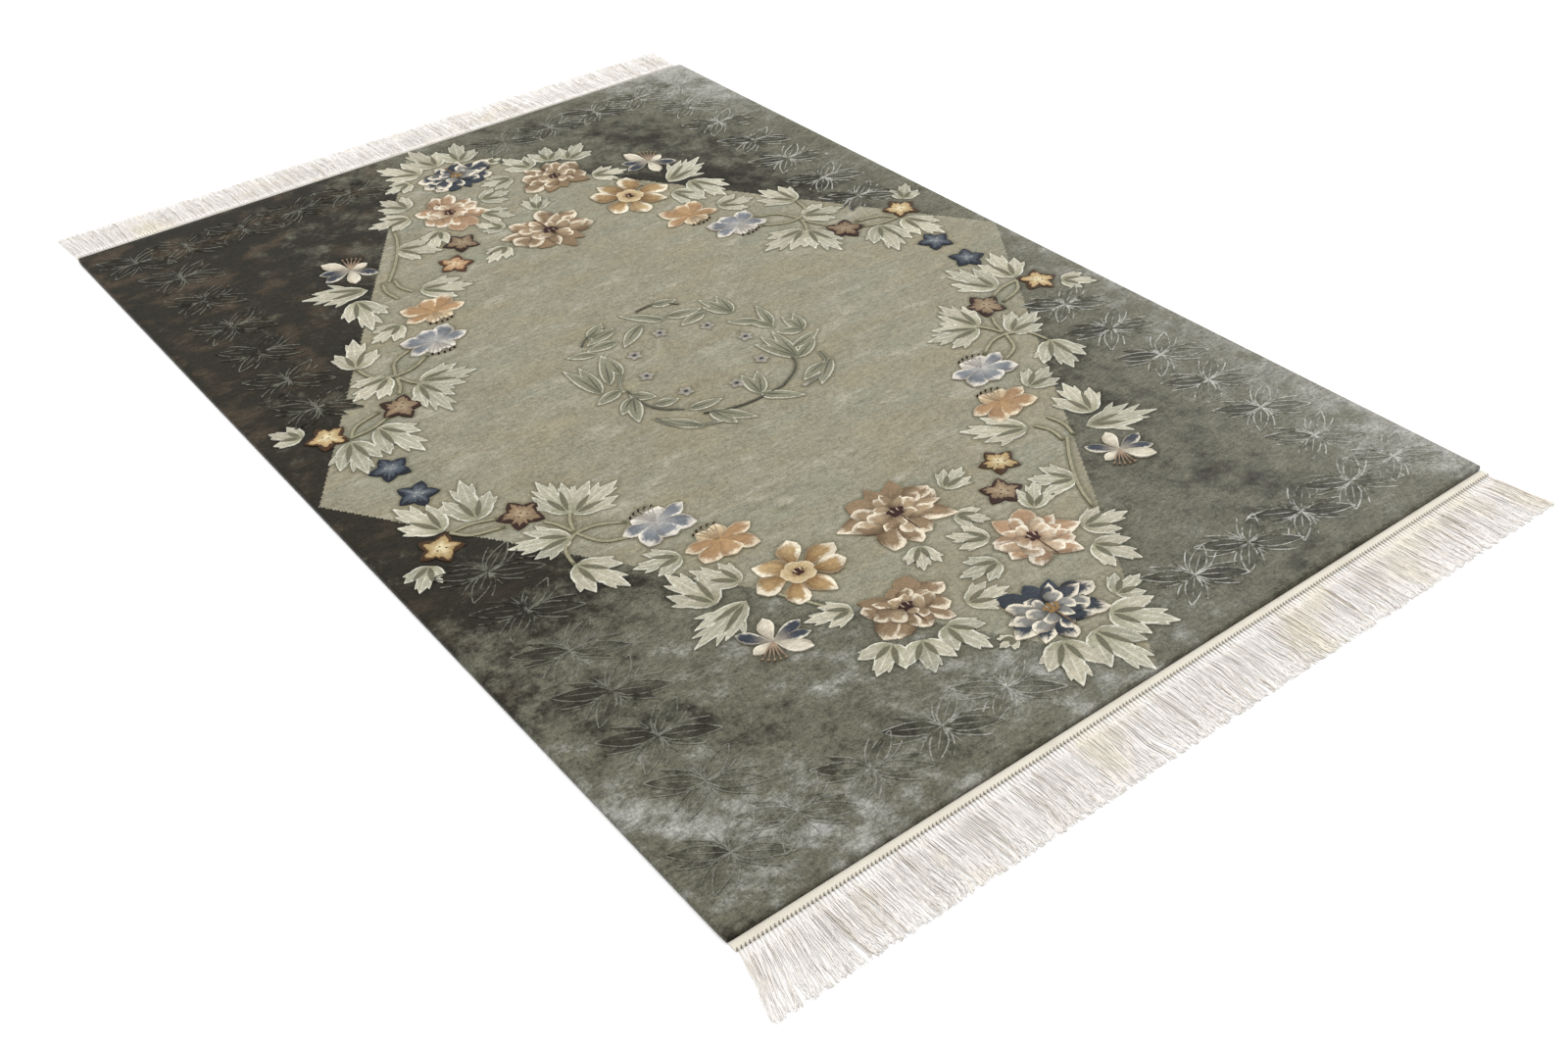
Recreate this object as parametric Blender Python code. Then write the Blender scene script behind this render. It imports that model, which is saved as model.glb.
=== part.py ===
# Chinese silk rug: one hand-knotted silk pile, carved round its flowers, with a flat-woven
# cotton band and a knotted fringe at each end. It lies flat on a floor.
#
# Metres, +Z up. X runs across the rug, Y along it, and Z starts at the floor. The origin is
# on the floor under the middle of the rug. The design reads the same after a half turn.
import math
from collections import namedtuple

import bmesh
import bpy
import numpy as np
from mathutils import Vector
from mathutils.geometry import delaunay_2d_cdt

# Driving sizes of the knotted pile
WIDTH = 1.220
LENGTH = 1.830
GROUND_HEIGHT = 0.0085  # foundation and pile, from the floor to the plain ground
RELIEF = 0.0012  # how far the carved flowers stand over the ground
EDGE_ROUNDING = 0.003
CORNER_RADIUS = 0.005
SHOULDER = 0.0045  # width of the carved slope inside each outline

# Driving sizes of each end
BAND_WIDTH = 0.013
BAND_HEIGHT = 0.002
SEAM_GAP = 0.0003  # between the pile and the band
STRANDS = 120
STRANDS_PER_FAN = 10
STRAND_LENGTH = 0.086
STRAND_UNEVENNESS = 0.006
SWAY = 0.008
SWAY_LENGTH = 0.26
FRINGE_SEED = 7

# Hand knotting beats down unevenly, so the middle of the design lies nearer one end
DRIFT = 0.019
DRIFT_FADES = (0.35, 0.75)  # full up to the first distance from the middle, gone at the second

# A flower is a ring of lobes. The rows are those of the near half, and "pair" rows also
# stand mirrored on the other side of the rug's long axis.
Flower = namedtuple("Flower", "what x y half_width half_height lobes dip turn pair")
FLOWERS = (
    Flower("tip peony", -0.020, -0.7675, 0.072, 0.051, 9, 0.20, 90, False),
    Flower("peach peony", 0.060, -0.6510, 0.061, 0.058, 8, 0.20, 70, False),
    Flower("fawn peony", -0.150, -0.6515, 0.063, 0.047, 8, 0.20, 90, False),
    Flower("great peony", -0.037, -0.4910, 0.079, 0.061, 9, 0.20, 90, False),
    Flower("gold rose", -0.2075, -0.5015, 0.064, 0.061, 7, 0.26, 75, False),
    Flower("inner gold star", 0.141, -0.4880, 0.029, 0.029, 5, 0.40, 90, False),
    Flower("inner brown star", 0.098, -0.5430, 0.030, 0.030, 5, 0.40, 60, False),
    Flower("navy star", -0.492, -0.0380, 0.029, 0.029, 5, 0.40, 50, True),
    Flower("gold star", -0.525, -0.1630, 0.031, 0.031, 5, 0.40, -95, True),
    Flower("brown star", -0.409, -0.1680, 0.032, 0.032, 5, 0.40, 90, True),
    Flower("blue lily", -0.284, -0.3020, 0.050, 0.037, 6, 0.34, 60, True),
    Flower("peach lily", -0.243, -0.3850, 0.050, 0.037, 6, 0.34, 60, True),
    Flower("outer lily", -0.310, -0.5900, 0.049, 0.044, 6, 0.40, 40, False),
    Flower("outer lily", 0.282, -0.5780, 0.049, 0.044, 6, 0.40, 20, False),
)

# A leaf has its stalk at x, y and points along its heading, in degrees from +X
Leaf = namedtuple("Leaf", "x y heading length width pair")
LEAVES = (
    Leaf(-0.504, -0.133, 104, 0.080, 0.050, True),
    Leaf(-0.459, -0.141, 74, 0.084, 0.052, True),
    Leaf(-0.360, -0.207, 86, 0.084, 0.038, True),
    Leaf(-0.356, -0.212, 16, 0.084, 0.046, True),
    Leaf(-0.384, -0.251, 163, 0.072, 0.046, True),
    Leaf(-0.412, -0.304, -68, 0.076, 0.052, True),
    Leaf(-0.553, -0.187, -134, 0.050, 0.040, True),
    Leaf(-0.300, -0.376, 163, 0.060, 0.040, True),
    Leaf(-0.320, -0.484, 101, 0.084, 0.048, True),
    Leaf(-0.290, -0.504, -160, 0.098, 0.038, True),
    Leaf(-0.272, -0.468, 118, 0.058, 0.036, False),
    Leaf(-0.202, -0.606, 163, 0.052, 0.034, False),
    Leaf(-0.206, -0.688, -142, 0.060, 0.046, False),
    Leaf(-0.176, -0.706, -116, 0.058, 0.046, False),
    Leaf(-0.138, -0.705, -72, 0.060, 0.048, False),
    Leaf(-0.090, -0.690, -8, 0.056, 0.036, False),
    Leaf(-0.090, -0.774, 178, 0.026, 0.020, False),
    Leaf(-0.052, -0.812, -117, 0.070, 0.050, False),
    Leaf(-0.012, -0.824, -86, 0.078, 0.050, False),
    Leaf(0.026, -0.812, -48, 0.072, 0.050, False),
    Leaf(0.058, -0.793, 10, 0.047, 0.038, False),
    Leaf(0.122, -0.672, -12, 0.064, 0.042, False),
    Leaf(0.106, -0.706, -66, 0.060, 0.044, False),
    Leaf(-0.006, -0.654, 174, 0.052, 0.038, False),
    Leaf(0.018, -0.610, 134, 0.052, 0.034, False),
    Leaf(0.104, -0.600, 46, 0.056, 0.036, False),
    Leaf(0.046, -0.486, 25, 0.052, 0.034, False),
    Leaf(0.018, -0.541, -56, 0.046, 0.034, False),
    Leaf(-0.060, -0.562, -120, 0.052, 0.034, False),
    Leaf(0.226, -0.452, 149, 0.082, 0.046, False),
    Leaf(0.190, -0.588, 139, 0.064, 0.044, False),
)
# Half of a leaf's outline, as shares of its length and half width, from stalk to tip
LeafPoint = namedtuple("LeafPoint", "along across")
LEAF_SHAPE = (
    LeafPoint(0.24, 0.46),
    LeafPoint(0.62, 1.00),
    LeafPoint(0.70, 0.56),
)

# Plain blossoms carved in the dark ground, in a row along each side and each end
BLOSSOM_HALF_WIDTH = 0.052
BLOSSOM_HALF_HEIGHT = 0.044
BLOSSOM_PETALS = 4
BLOSSOM_SHOULDER = 0.62  # radius of a petal's shoulders, as a share of its tip's
BLOSSOM_SHOULDER_TURN = 21  # degrees to each side of the tip
BLOSSOM_WAIST = 0.24
BLOSSOM_SHRINK = 0.92  # keeps one blossom's tips off the next one's
SIDE_ROW_X = 0.5025
SIDE_ROW_Y = (-0.2455, -0.3405, -0.4410, -0.5365, -0.6370, -0.7310)
END_ROW_Y = -0.829
END_ROW_X = (0.5530, 0.4540, 0.3540, 0.2540, 0.1555)

# The wreath in the middle: leaves outside a round stem, and small blossoms inside it
WREATH_CENTRE = Vector((-0.010, -0.006))
WREATH_RADIUS = 0.137
WREATH_LEAVES = 14
WREATH_LEAF_LENGTH = 0.062
WREATH_LEAF_WIDTH = 0.022
WREATH_LEAF_LEAN = 36  # degrees from the stem's own direction
WREATH_BUDS = 8
WREATH_BUD_RING = 0.093
WREATH_BUD_RADIUS = 0.012

# Sections of a fringe strand: how far out, half its width and its height, all in metres
# but for "reach", which is a share of the strand's length
Section = namedtuple("Section", "reach half_width height")
STRAND_SECTIONS = (
    Section(0.30, 0.0031, 0.0021),
    Section(0.68, 0.0028, 0.0018),
    Section(1.00, 0.0013, 0.0011),
)
ROOT_HALF_WIDTH = 0.0025

# Colour (linear), roughness and metallic value of each finish
Finish = namedtuple("Finish", "name colour roughness metallic")
SILK_PILE = Finish("silk_pile", (0.135, 0.138, 0.105, 1.0), 0.55, 0.0)
COTTON_ENDS = Finish("cotton_ends", (0.78, 0.74, 0.66, 1.0), 0.85, 0.0)


def clear_scene():
    """Removes whatever the file holds before the rug is made."""
    for old in list(bpy.data.objects):
        bpy.data.objects.remove(old, do_unlink=True)


def material(finish):
    """A Principled material with the finish's colour, roughness and metallic value."""
    made = bpy.data.materials.new(finish.name)
    made.use_nodes = True
    shader = made.node_tree.nodes["Principled BSDF"]
    shader.inputs["Base Color"].default_value = finish.colour
    shader.inputs["Roughness"].default_value = finish.roughness
    shader.inputs["Metallic"].default_value = finish.metallic
    return made


def add_object(name, bm, finish):
    """Writes a bmesh to a named object with its own material."""
    bmesh.ops.recalc_face_normals(bm, faces=bm.faces)
    mesh = bpy.data.meshes.new(name)
    bm.to_mesh(mesh)
    bm.free()
    mesh.materials.append(material(finish))
    piece = bpy.data.objects.new(name, mesh)
    bpy.context.scene.collection.objects.link(piece)
    return piece


def smooth_step(low, high, value):
    """0 below low, 1 above high, and an even S-curve between them."""
    share = min(1.0, max(0.0, (value - low) / (high - low)))
    return share * share * (3 - 2 * share)


def knotted(point):
    """Where a point of the drawn design lies on the knotted rug."""
    shift = DRIFT * (1 - smooth_step(*DRIFT_FADES, abs(point.y)))
    return Vector((point.x, point.y - shift))


def polar(centre, angle, across, along):
    """The point of an ellipse round a centre, at an angle in degrees."""
    turn = math.radians(angle)
    return centre + Vector((across * math.cos(turn), along * math.sin(turn)))


def flower_outline(flower):
    """A ring of lobes, with a point at each tip and each dip."""
    centre = Vector((flower.x, flower.y))
    step = 180 / flower.lobes
    outline = []
    for corner in range(2 * flower.lobes):
        size = 1 - flower.dip * (corner % 2)
        angle = flower.turn + corner * step
        outline.append(polar(centre, angle, size * flower.half_width, size * flower.half_height))
    return outline


def leaf_outline(leaf):
    """A pointed leaf with a side lobe on each edge."""
    turn = math.radians(leaf.heading)
    forward = Vector((math.cos(turn), math.sin(turn)))
    left = Vector((-forward.y, forward.x))
    stalk = Vector((leaf.x, leaf.y))
    tip = stalk + forward * leaf.length
    middles = [stalk + forward * point.along * leaf.length for point in LEAF_SHAPE]
    reaches = [left * point.across * leaf.width / 2 for point in LEAF_SHAPE]
    right_side = [middle - reach for middle, reach in zip(middles, reaches)]
    left_side = [middle + reach for middle, reach in zip(middles, reaches)]
    return [stalk, *right_side, tip, *reversed(left_side)]


def blossom_outline(x, y):
    """Four broad petals on the diagonals, each with a tip and two shoulders."""
    centre = Vector((x, y))
    step = 360 / BLOSSOM_PETALS
    outline = []
    for petal in range(BLOSSOM_PETALS):
        tip = step / 2 + petal * step
        for angle, size in (
            (tip - BLOSSOM_SHOULDER_TURN, BLOSSOM_SHOULDER),
            (tip, 1 / math.cos(math.radians(step / 2)) * BLOSSOM_SHRINK),
            (tip + BLOSSOM_SHOULDER_TURN, BLOSSOM_SHOULDER),
            (tip + step / 2, BLOSSOM_WAIST),
        ):
            outline.append(polar(centre, angle, size * BLOSSOM_HALF_WIDTH, size * BLOSSOM_HALF_HEIGHT))
    return outline


def border_outlines():
    """The blossoms of the near half: one row up each side and one along the end."""
    places = [(side * SIDE_ROW_X, y) for side in (-1, 1) for y in SIDE_ROW_Y]
    places += [(side * x, END_ROW_Y) for side in (-1, 1) for x in END_ROW_X]
    return [blossom_outline(x, y) for x, y in places]


def wreath_outlines():
    """Slim leaves leaning outwards along the round stem, and the blossoms inside it."""
    outlines = []
    for number in range(WREATH_LEAVES):
        angle = 360 * number / WREATH_LEAVES
        stalk = polar(WREATH_CENTRE, angle, WREATH_RADIUS, WREATH_RADIUS)
        heading = angle + 90 - WREATH_LEAF_LEAN
        outlines.append(
            leaf_outline(Leaf(stalk.x, stalk.y, heading, WREATH_LEAF_LENGTH, WREATH_LEAF_WIDTH, False))
        )
    for number in range(WREATH_BUDS):
        centre = polar(WREATH_CENTRE, 360 * number / WREATH_BUDS, WREATH_BUD_RING, WREATH_BUD_RING)
        bud = Flower("bud", centre.x, centre.y, WREATH_BUD_RADIUS, WREATH_BUD_RADIUS, 3, 0.3, 0, False)
        outlines.append(flower_outline(bud))
    return outlines


def with_mirrored(rows, outline_of):
    """Each row's outline, and the mirrored one for rows that stand in pairs."""
    outlines = []
    for row in rows:
        outline = outline_of(row)
        outlines.append(outline)
        if row.pair:
            outlines.append([Vector((-p.x, p.y)) for p in reversed(outline)])
    return outlines


def carved_outlines():
    """Every carved outline of the rug, drifted to where it was knotted."""
    near = with_mirrored(FLOWERS, flower_outline) + with_mirrored(LEAVES, leaf_outline) + border_outlines()
    far = [[-p for p in outline] for outline in near]
    return [[knotted(p) for p in outline] for outline in near + far + wreath_outlines()]


def inner_outline(outline):
    """The top of the carved slope: the outline drawn in towards its middle by SHOULDER."""
    middle = sum(outline, Vector((0, 0))) / len(outline)
    drawn_in = []
    for point in outline:
        reach = (point - middle).length
        drawn_in.append(middle + (point - middle) * max(0.35, 1 - SHOULDER / reach))
    return drawn_in


def inside(points, polygon):
    """Which of the points lie in the polygon or on its corners, by crossing number."""
    corners = np.array([tuple(p) for p in polygon])
    found = np.zeros(len(points), bool)
    for start, end in zip(corners, np.roll(corners, -1, axis=0)):
        level = (start[1] > points[:, 1]) != (end[1] > points[:, 1])
        rise = end[1] - start[1] if end[1] != start[1] else 1.0
        crossing = start[0] + (points[:, 1] - start[1]) * (end[0] - start[0]) / rise
        found ^= level & (points[:, 0] < crossing)
    nearest = np.linalg.norm(points[:, None, :] - corners[None, :, :], axis=2).min(axis=1)
    return found | (nearest < SEAM_GAP)


def rounded_rectangle(inset):
    """The rug's outline drawn in by inset, counter-clockwise, with its corners eased."""
    across, along = WIDTH / 2 - inset, LENGTH / 2 - inset
    radius = CORNER_RADIUS
    ring = []
    for quarter, (x_side, y_side) in enumerate(((1, 1), (-1, 1), (-1, -1), (1, -1))):
        middle = Vector((x_side * (across - radius), y_side * (along - radius)))
        for part in range(3):
            ring.append(polar(middle, 90 * quarter + 45 * part, radius, radius))
    return ring


def carved_top(edge_ring):
    """Triangles over the top of the rug, as (points, heights, faces, edge ring's indices)."""
    loops = [edge_ring]
    raised_areas = []
    for outline in carved_outlines():
        raised = inner_outline(outline)
        loops += [outline, raised]
        raised_areas.append(raised)
    points, edges = [], []
    for loop in loops:
        start = len(points)
        points += loop
        edges += [(start + i, start + (i + 1) % len(loop)) for i in range(len(loop))]
    flat, _, faces, sources, _, _ = delaunay_2d_cdt(points, edges, [], 0, 1e-6, True)
    places = np.array([tuple(p) for p in flat])
    lifted = np.zeros(len(places), bool)
    for area in raised_areas:
        lifted |= inside(places, area)
    heights = GROUND_HEIGHT + RELIEF * lifted
    index_of = {source: number for number, found in enumerate(sources) for source in found}
    return flat, heights, faces, [index_of[i] for i in range(len(edge_ring))]


def make_pile():
    """The knotted rug: a flat slab with soft edges and the design carved in its top."""
    bm = bmesh.new()
    flat, heights, faces, ring_indices = carved_top(rounded_rectangle(EDGE_ROUNDING))
    top = [bm.verts.new((p.x, p.y, z)) for p, z in zip(flat, heights)]
    for face in faces:
        bm.faces.new([top[i] for i in face])
    ring = [top[i] for i in ring_indices]
    eased = EDGE_ROUNDING * (1 - math.sin(math.radians(45)))
    levels = (
        (eased, GROUND_HEIGHT - eased),
        (0.0, GROUND_HEIGHT - EDGE_ROUNDING),
        (0.0, 0.0),
    )
    for inset, height in levels:
        lower = [bm.verts.new((p.x, p.y, height)) for p in rounded_rectangle(inset)]
        for i in range(len(ring)):
            j = (i + 1) % len(ring)
            bm.faces.new((ring[j], ring[i], lower[i], lower[j]))
        ring = lower
    bm.faces.new(list(reversed(ring)))
    return add_object("pile", bm, SILK_PILE)


def strand_course(number, root_x, generator):
    """Where a strand's sections lie, as (x, distance out, half width, height)."""
    length = STRAND_LENGTH - STRAND_UNEVENNESS * generator.random()
    swing = SWAY * math.sin(2 * math.pi * root_x / SWAY_LENGTH + 0.9) + 0.0008 * (generator.random() - 0.5)
    edge_ease = 1 - (abs(2 * number / (STRANDS - 1) - 1)) ** 6  # the outermost hang straight
    course = []
    for section in STRAND_SECTIONS:
        x = root_x + swing * edge_ease * section.reach**1.4
        course.append((x, length * section.reach, section.half_width, section.height))
    return course


def fan(bm, apex, chain):
    """Triangles from one point to each step of a chain of points."""
    for first, second in zip(chain, chain[1:]):
        bm.faces.new((apex, first, second))


def make_fringe(name, end):
    """A narrow woven band with its strands fused to its outer face, lying level on the floor."""
    bm = bmesh.new()
    generator = np.random.default_rng(FRINGE_SEED + (end > 0))
    seam_y = LENGTH / 2 + SEAM_GAP
    outer_y = seam_y + BAND_WIDTH
    half = WIDTH / 2 - EDGE_ROUNDING / 2
    pitch = 2 * half / STRANDS

    def corner(x, y, z):
        return bm.verts.new((-end * x, end * y, z))

    upper, lower = [corner(-half, outer_y, BAND_HEIGHT)], [corner(-half, outer_y, 0)]
    roots = []
    for number in range(STRANDS):
        x = -half + (number + 0.5) * pitch
        left = corner(x - ROOT_HALF_WIDTH, outer_y, 0)
        right = corner(x + ROOT_HALF_WIDTH, outer_y, 0)
        peak = corner(x, outer_y, BAND_HEIGHT)
        roots.append((left, right, peak))
        previous_upper, previous_lower = upper[-1], lower[-1]
        bm.faces.new((previous_lower, left, peak, previous_upper))
        upper.append(peak)
        lower += [left, right]
        section = (left, right, peak)
        for place, out, half_width, height in strand_course(number, x, generator):
            y = outer_y + out
            further = (
                corner(place - half_width, y, 0),
                corner(place + half_width, y, 0),
                corner(place, y, height),
            )
            for i in range(3):
                j = (i + 1) % 3
                bm.faces.new((section[i], section[j], further[j], further[i]))
            section = further
        bm.faces.new(section)
    upper.append(corner(half, outer_y, BAND_HEIGHT))
    lower.append(corner(half, outer_y, 0))
    bm.faces.new((lower[-2], lower[-1], upper[-1], upper[-2]))
    close_band(bm, upper, lower, roots, seam_y, end)
    return add_object(name, bm, COTTON_ENDS)


def close_band(bm, upper, lower, roots, seam_y, end):
    """The band's top, underside, ends and the face along the pile, in fans of ten strands."""
    fans = STRANDS // STRANDS_PER_FAN
    marks = [0] + [1 + STRANDS_PER_FAN * k for k in range(1, fans)] + [len(upper) - 1]
    seam_upper = [bm.verts.new((upper[m].co.x, end * seam_y, BAND_HEIGHT)) for m in marks]
    seam_lower = [bm.verts.new((upper[m].co.x, end * seam_y, 0)) for m in marks]
    for k in range(fans):
        fan(bm, seam_upper[k], upper[marks[k] : marks[k + 1] + 1])
        bm.faces.new((seam_upper[k], upper[marks[k + 1]], seam_upper[k + 1]))
        first = 2 * marks[k] - 1 if k else 0
        last = 2 * marks[k + 1] - 1 if k < fans - 1 else len(lower) - 1
        fan(bm, seam_lower[k], lower[first : last + 1])
        bm.faces.new((seam_lower[k], lower[last], seam_lower[k + 1]))
        bm.faces.new((seam_upper[k], seam_upper[k + 1], seam_lower[k + 1], seam_lower[k]))
    bm.faces.new((upper[0], lower[0], seam_lower[0], seam_upper[0]))
    bm.faces.new((upper[-1], seam_upper[-1], seam_lower[-1], lower[-1]))


clear_scene()
make_pile()
make_fringe("near_fringe", -1)
make_fringe("far_fringe", 1)
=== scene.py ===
# %% [markdown]
# A hand-knotted Chinese silk rug, lying flat. Its pile is carved with shears round every
# flower, so the design stands out of the ground like a low relief. The CAD model gives the
# rug's size and the level of its pile. This script makes what is seen: the carved ground, each
# petal and leaf, the silk, and the knotted fringe at both ends.

# %% Load the frame
import math
from collections import namedtuple

import bmesh
import bpy
import numpy as np
from mathutils import Matrix, Vector


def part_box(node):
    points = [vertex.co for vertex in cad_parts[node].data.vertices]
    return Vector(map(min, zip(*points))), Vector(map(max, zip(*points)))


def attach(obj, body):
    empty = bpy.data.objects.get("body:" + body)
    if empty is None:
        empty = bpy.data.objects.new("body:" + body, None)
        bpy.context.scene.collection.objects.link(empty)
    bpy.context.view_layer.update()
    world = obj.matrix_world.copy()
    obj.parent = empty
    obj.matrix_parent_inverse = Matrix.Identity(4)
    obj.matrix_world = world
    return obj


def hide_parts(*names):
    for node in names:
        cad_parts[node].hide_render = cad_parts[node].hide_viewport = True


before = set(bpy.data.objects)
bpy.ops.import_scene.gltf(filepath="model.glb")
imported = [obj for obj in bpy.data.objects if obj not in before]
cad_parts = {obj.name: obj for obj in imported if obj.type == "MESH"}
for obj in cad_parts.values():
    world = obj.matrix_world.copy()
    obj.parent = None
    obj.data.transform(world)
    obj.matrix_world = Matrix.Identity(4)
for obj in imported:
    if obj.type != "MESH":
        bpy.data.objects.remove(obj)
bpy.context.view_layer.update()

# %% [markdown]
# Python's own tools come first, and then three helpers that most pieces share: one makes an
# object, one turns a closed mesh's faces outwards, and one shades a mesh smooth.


def new_object(name, data):
    """An object at the origin, linked to the scene."""
    made = bpy.data.objects.new(name, data)
    bpy.context.scene.collection.objects.link(made)
    return made


def face_outwards(mesh):
    """Turns the faces of a closed mesh outwards."""
    bm = bmesh.new()
    bm.from_mesh(mesh)
    bmesh.ops.recalc_face_normals(bm, faces=bm.faces)
    bm.to_mesh(mesh)
    bm.free()


def smooth(mesh, sharp_from):
    """Shades a mesh smooth, but for edges that turn by this many degrees or more."""
    mesh.shade_smooth()
    mesh.set_sharp_from_angle(angle=math.radians(sharp_from))


# %% [markdown]
# The main sizes come from the CAD model's own boxes, so the looks can't drift from the solids.
# The plain ground lies a little lower than the box of the pile, because the box reaches up to
# the carved flowers.

# %% Driving sizes, in metres
PILE_LOW, PILE_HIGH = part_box("pile")
NEAR_LOW, NEAR_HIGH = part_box("near_fringe")
WIDTH = PILE_HIGH.x - PILE_LOW.x
LENGTH = PILE_HIGH.y - PILE_LOW.y
RELIEF = 0.0012
GROUND = PILE_HIGH.z - RELIEF
EDGE = 0.003
BAND_WIDTH = 0.013
SEAM_GAP = PILE_LOW.y - NEAR_HIGH.y
STRAND_LENGTH = NEAR_HIGH.y - NEAR_LOW.y - BAND_WIDTH
SEED = 20
print(f"pile {WIDTH:.3f} x {LENGTH:.3f} m, ground at {GROUND * 1000:.1f} mm")
print(f"strands {STRAND_LENGTH * 1000:.0f} mm beyond a band of {BAND_WIDTH * 1000:.0f} mm")

# %% [markdown]
# The photograph was taken from the near left corner, at eye level of someone kneeling. The
# camera's place and turn were found by matching the four corners of the pile. The rug leans a
# little in the picture, so the camera has a small roll.

# %% Camera
PHOTO_WIDTH = 1600
PHOTO_FOCAL = 1741.9  # in pixels of that width
CAMERA_PLACE = Vector((-1.1843, -1.8301, 1.3228))
CAMERA_TURN = math.radians(-36.06)
CAMERA_DIP = math.radians(37.03)
CAMERA_ROLL = math.radians(-2.62)


def add_camera():
    """The photograph's point of view."""
    data = bpy.data.cameras.new("camera")
    data.sensor_width = 36.0
    data.lens = PHOTO_FOCAL / PHOTO_WIDTH * data.sensor_width
    camera = new_object("camera", data)
    turn = Matrix.Rotation(CAMERA_TURN, 4, "Z")
    tilt = Matrix.Rotation(math.pi / 2 - CAMERA_DIP, 4, "X")
    roll = Matrix.Rotation(CAMERA_ROLL, 4, "Z")
    camera.matrix_world = Matrix.Translation(CAMERA_PLACE) @ turn @ tilt @ roll
    bpy.context.scene.camera = camera
    print(f"camera with a {data.lens:.1f} mm lens")


add_camera()

# %% [markdown]
# Node trees are easier to read as sums. A Wire holds one socket, and Python's own operators
# on it add Math nodes. A Graph adds any other node from its type, its settings and what goes
# into its sockets. The same two classes serve materials and Geometry Nodes.


# %% Sums of sockets
class Wire:
    """One output socket of a tree."""

    def __init__(self, graph, socket):
        self.graph = graph
        self.socket = socket

    def out(self, name):
        """Another output of the same node."""
        return Wire(self.graph, self.socket.node.outputs[name])

    def maths(self, operation, *others):
        """A Math node with this wire first."""
        return self.graph.add("ShaderNodeMath", {"operation": operation}, self, *others)

    def back(self, operation, other):
        """A Math node with this wire second."""
        return self.graph.add("ShaderNodeMath", {"operation": operation}, other, self)

    def __add__(self, other):
        return self.maths("ADD", other)

    def __radd__(self, other):
        return self.back("ADD", other)

    def __sub__(self, other):
        return self.maths("SUBTRACT", other)

    def __rsub__(self, other):
        return self.back("SUBTRACT", other)

    def __mul__(self, other):
        return self.maths("MULTIPLY", other)

    def __rmul__(self, other):
        return self.back("MULTIPLY", other)

    def __truediv__(self, other):
        return self.maths("DIVIDE", other)

    def __rtruediv__(self, other):
        return self.back("DIVIDE", other)

    def __pow__(self, other):
        return self.maths("POWER", other)

    def __neg__(self):
        return self * -1.0

    def __abs__(self):
        return self.maths("ABSOLUTE")

    def floor(self):
        """The whole part."""
        return self.maths("FLOOR")

    def sin(self):
        """The sine, of radians."""
        return self.maths("SINE")

    def between(self, low, high):
        """0 at low, 1 at high, with soft ends."""
        settings = {"interpolation_type": "SMOOTHSTEP"}
        return self.graph.add("ShaderNodeMapRange", settings, self, low, high, 0.0, 1.0)


class Graph:
    """A node tree that is filled from Python."""

    def __init__(self, tree):
        self.tree = tree

    def add(self, kind, settings=None, *values, **named):
        """Adds a node and returns its first output."""
        node = self.tree.nodes.new(kind)
        for key, setting in (settings or {}).items():
            setattr(node, key, setting)
        live = [socket for socket in node.inputs if socket.enabled]
        pairs = list(zip(live, values))
        for name, value in named.items():
            wanted = name.replace("_", " ")
            pairs.append((next(s for s in live if s.name == wanted), value))
        for socket, value in pairs:
            if value is None:
                continue
            if isinstance(value, Wire):
                self.tree.links.new(value.socket, socket)
            else:
                socket.default_value = value
        return Wire(self, next(socket for socket in node.outputs if socket.enabled))

    def mix(self, first, second, amount, how="MIX"):
        """Two colours blended by an amount."""
        settings = {"data_type": "RGBA", "blend_type": how}
        return self.add("ShaderNodeMix", settings, amount, first, second)

    def vector(self, x, y, z):
        """A vector of three numbers."""
        return self.add("ShaderNodeCombineXYZ", None, x, y, z)

    def parts(self, vector):
        """The three numbers of a vector."""
        split = self.add("ShaderNodeSeparateXYZ", None, vector)
        return split, split.out("Y"), split.out("Z")

    def finish(self, colour, roughness, bump, sheen):
        """Puts a material's colour, roughness and bump into its shader."""
        shader = self.tree.nodes["Principled BSDF"]
        for name, wire in (("Base Color", colour), ("Roughness", roughness), ("Normal", bump)):
            self.tree.links.new(wire.socket, shader.inputs[name])
        shader.inputs["Sheen Weight"].default_value = sheen
        return shader

    def noise(self, place, scale, stretch=(1, 1, 1), detail=2.0, rough=0.55):
        """Soft noise from 0 to 1, stretched along an axis where a factor is under 1."""
        seen = self.add("ShaderNodeVectorMath", {"operation": "MULTIPLY"}, place, stretch)
        return self.add("ShaderNodeTexNoise", None, seen, Scale=scale, Detail=detail, Roughness=rough)


def dye(red, green, blue):
    """A colour as a screen shows it, from 0 to 255, turned into light."""
    shares = [value / 255 for value in (red, green, blue)]
    light = [s / 12.92 if s <= 0.04045 else ((s + 0.055) / 1.055) ** 2.4 for s in shares]
    return (*light, 1.0)


# %% [markdown]
# All the pile is one silk. Its cut ends shine softly, and more where they lean one way, so a
# silk rug looks cloudy. The same function finishes every material of the pile: it takes a
# colour, paints the cloudiness into it as sheen together with uneven dye, and adds the soft
# sheen and the fine nap.

# %% Silk
PILE_ROW = 0.0030  # from one row of knots to the next
NAP_HEIGHT = 0.0010
SILK_GLOSS = 0.10
SILK_SHEEN = 0.03
SHEEN_ROUGHNESS = 0.40


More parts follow.
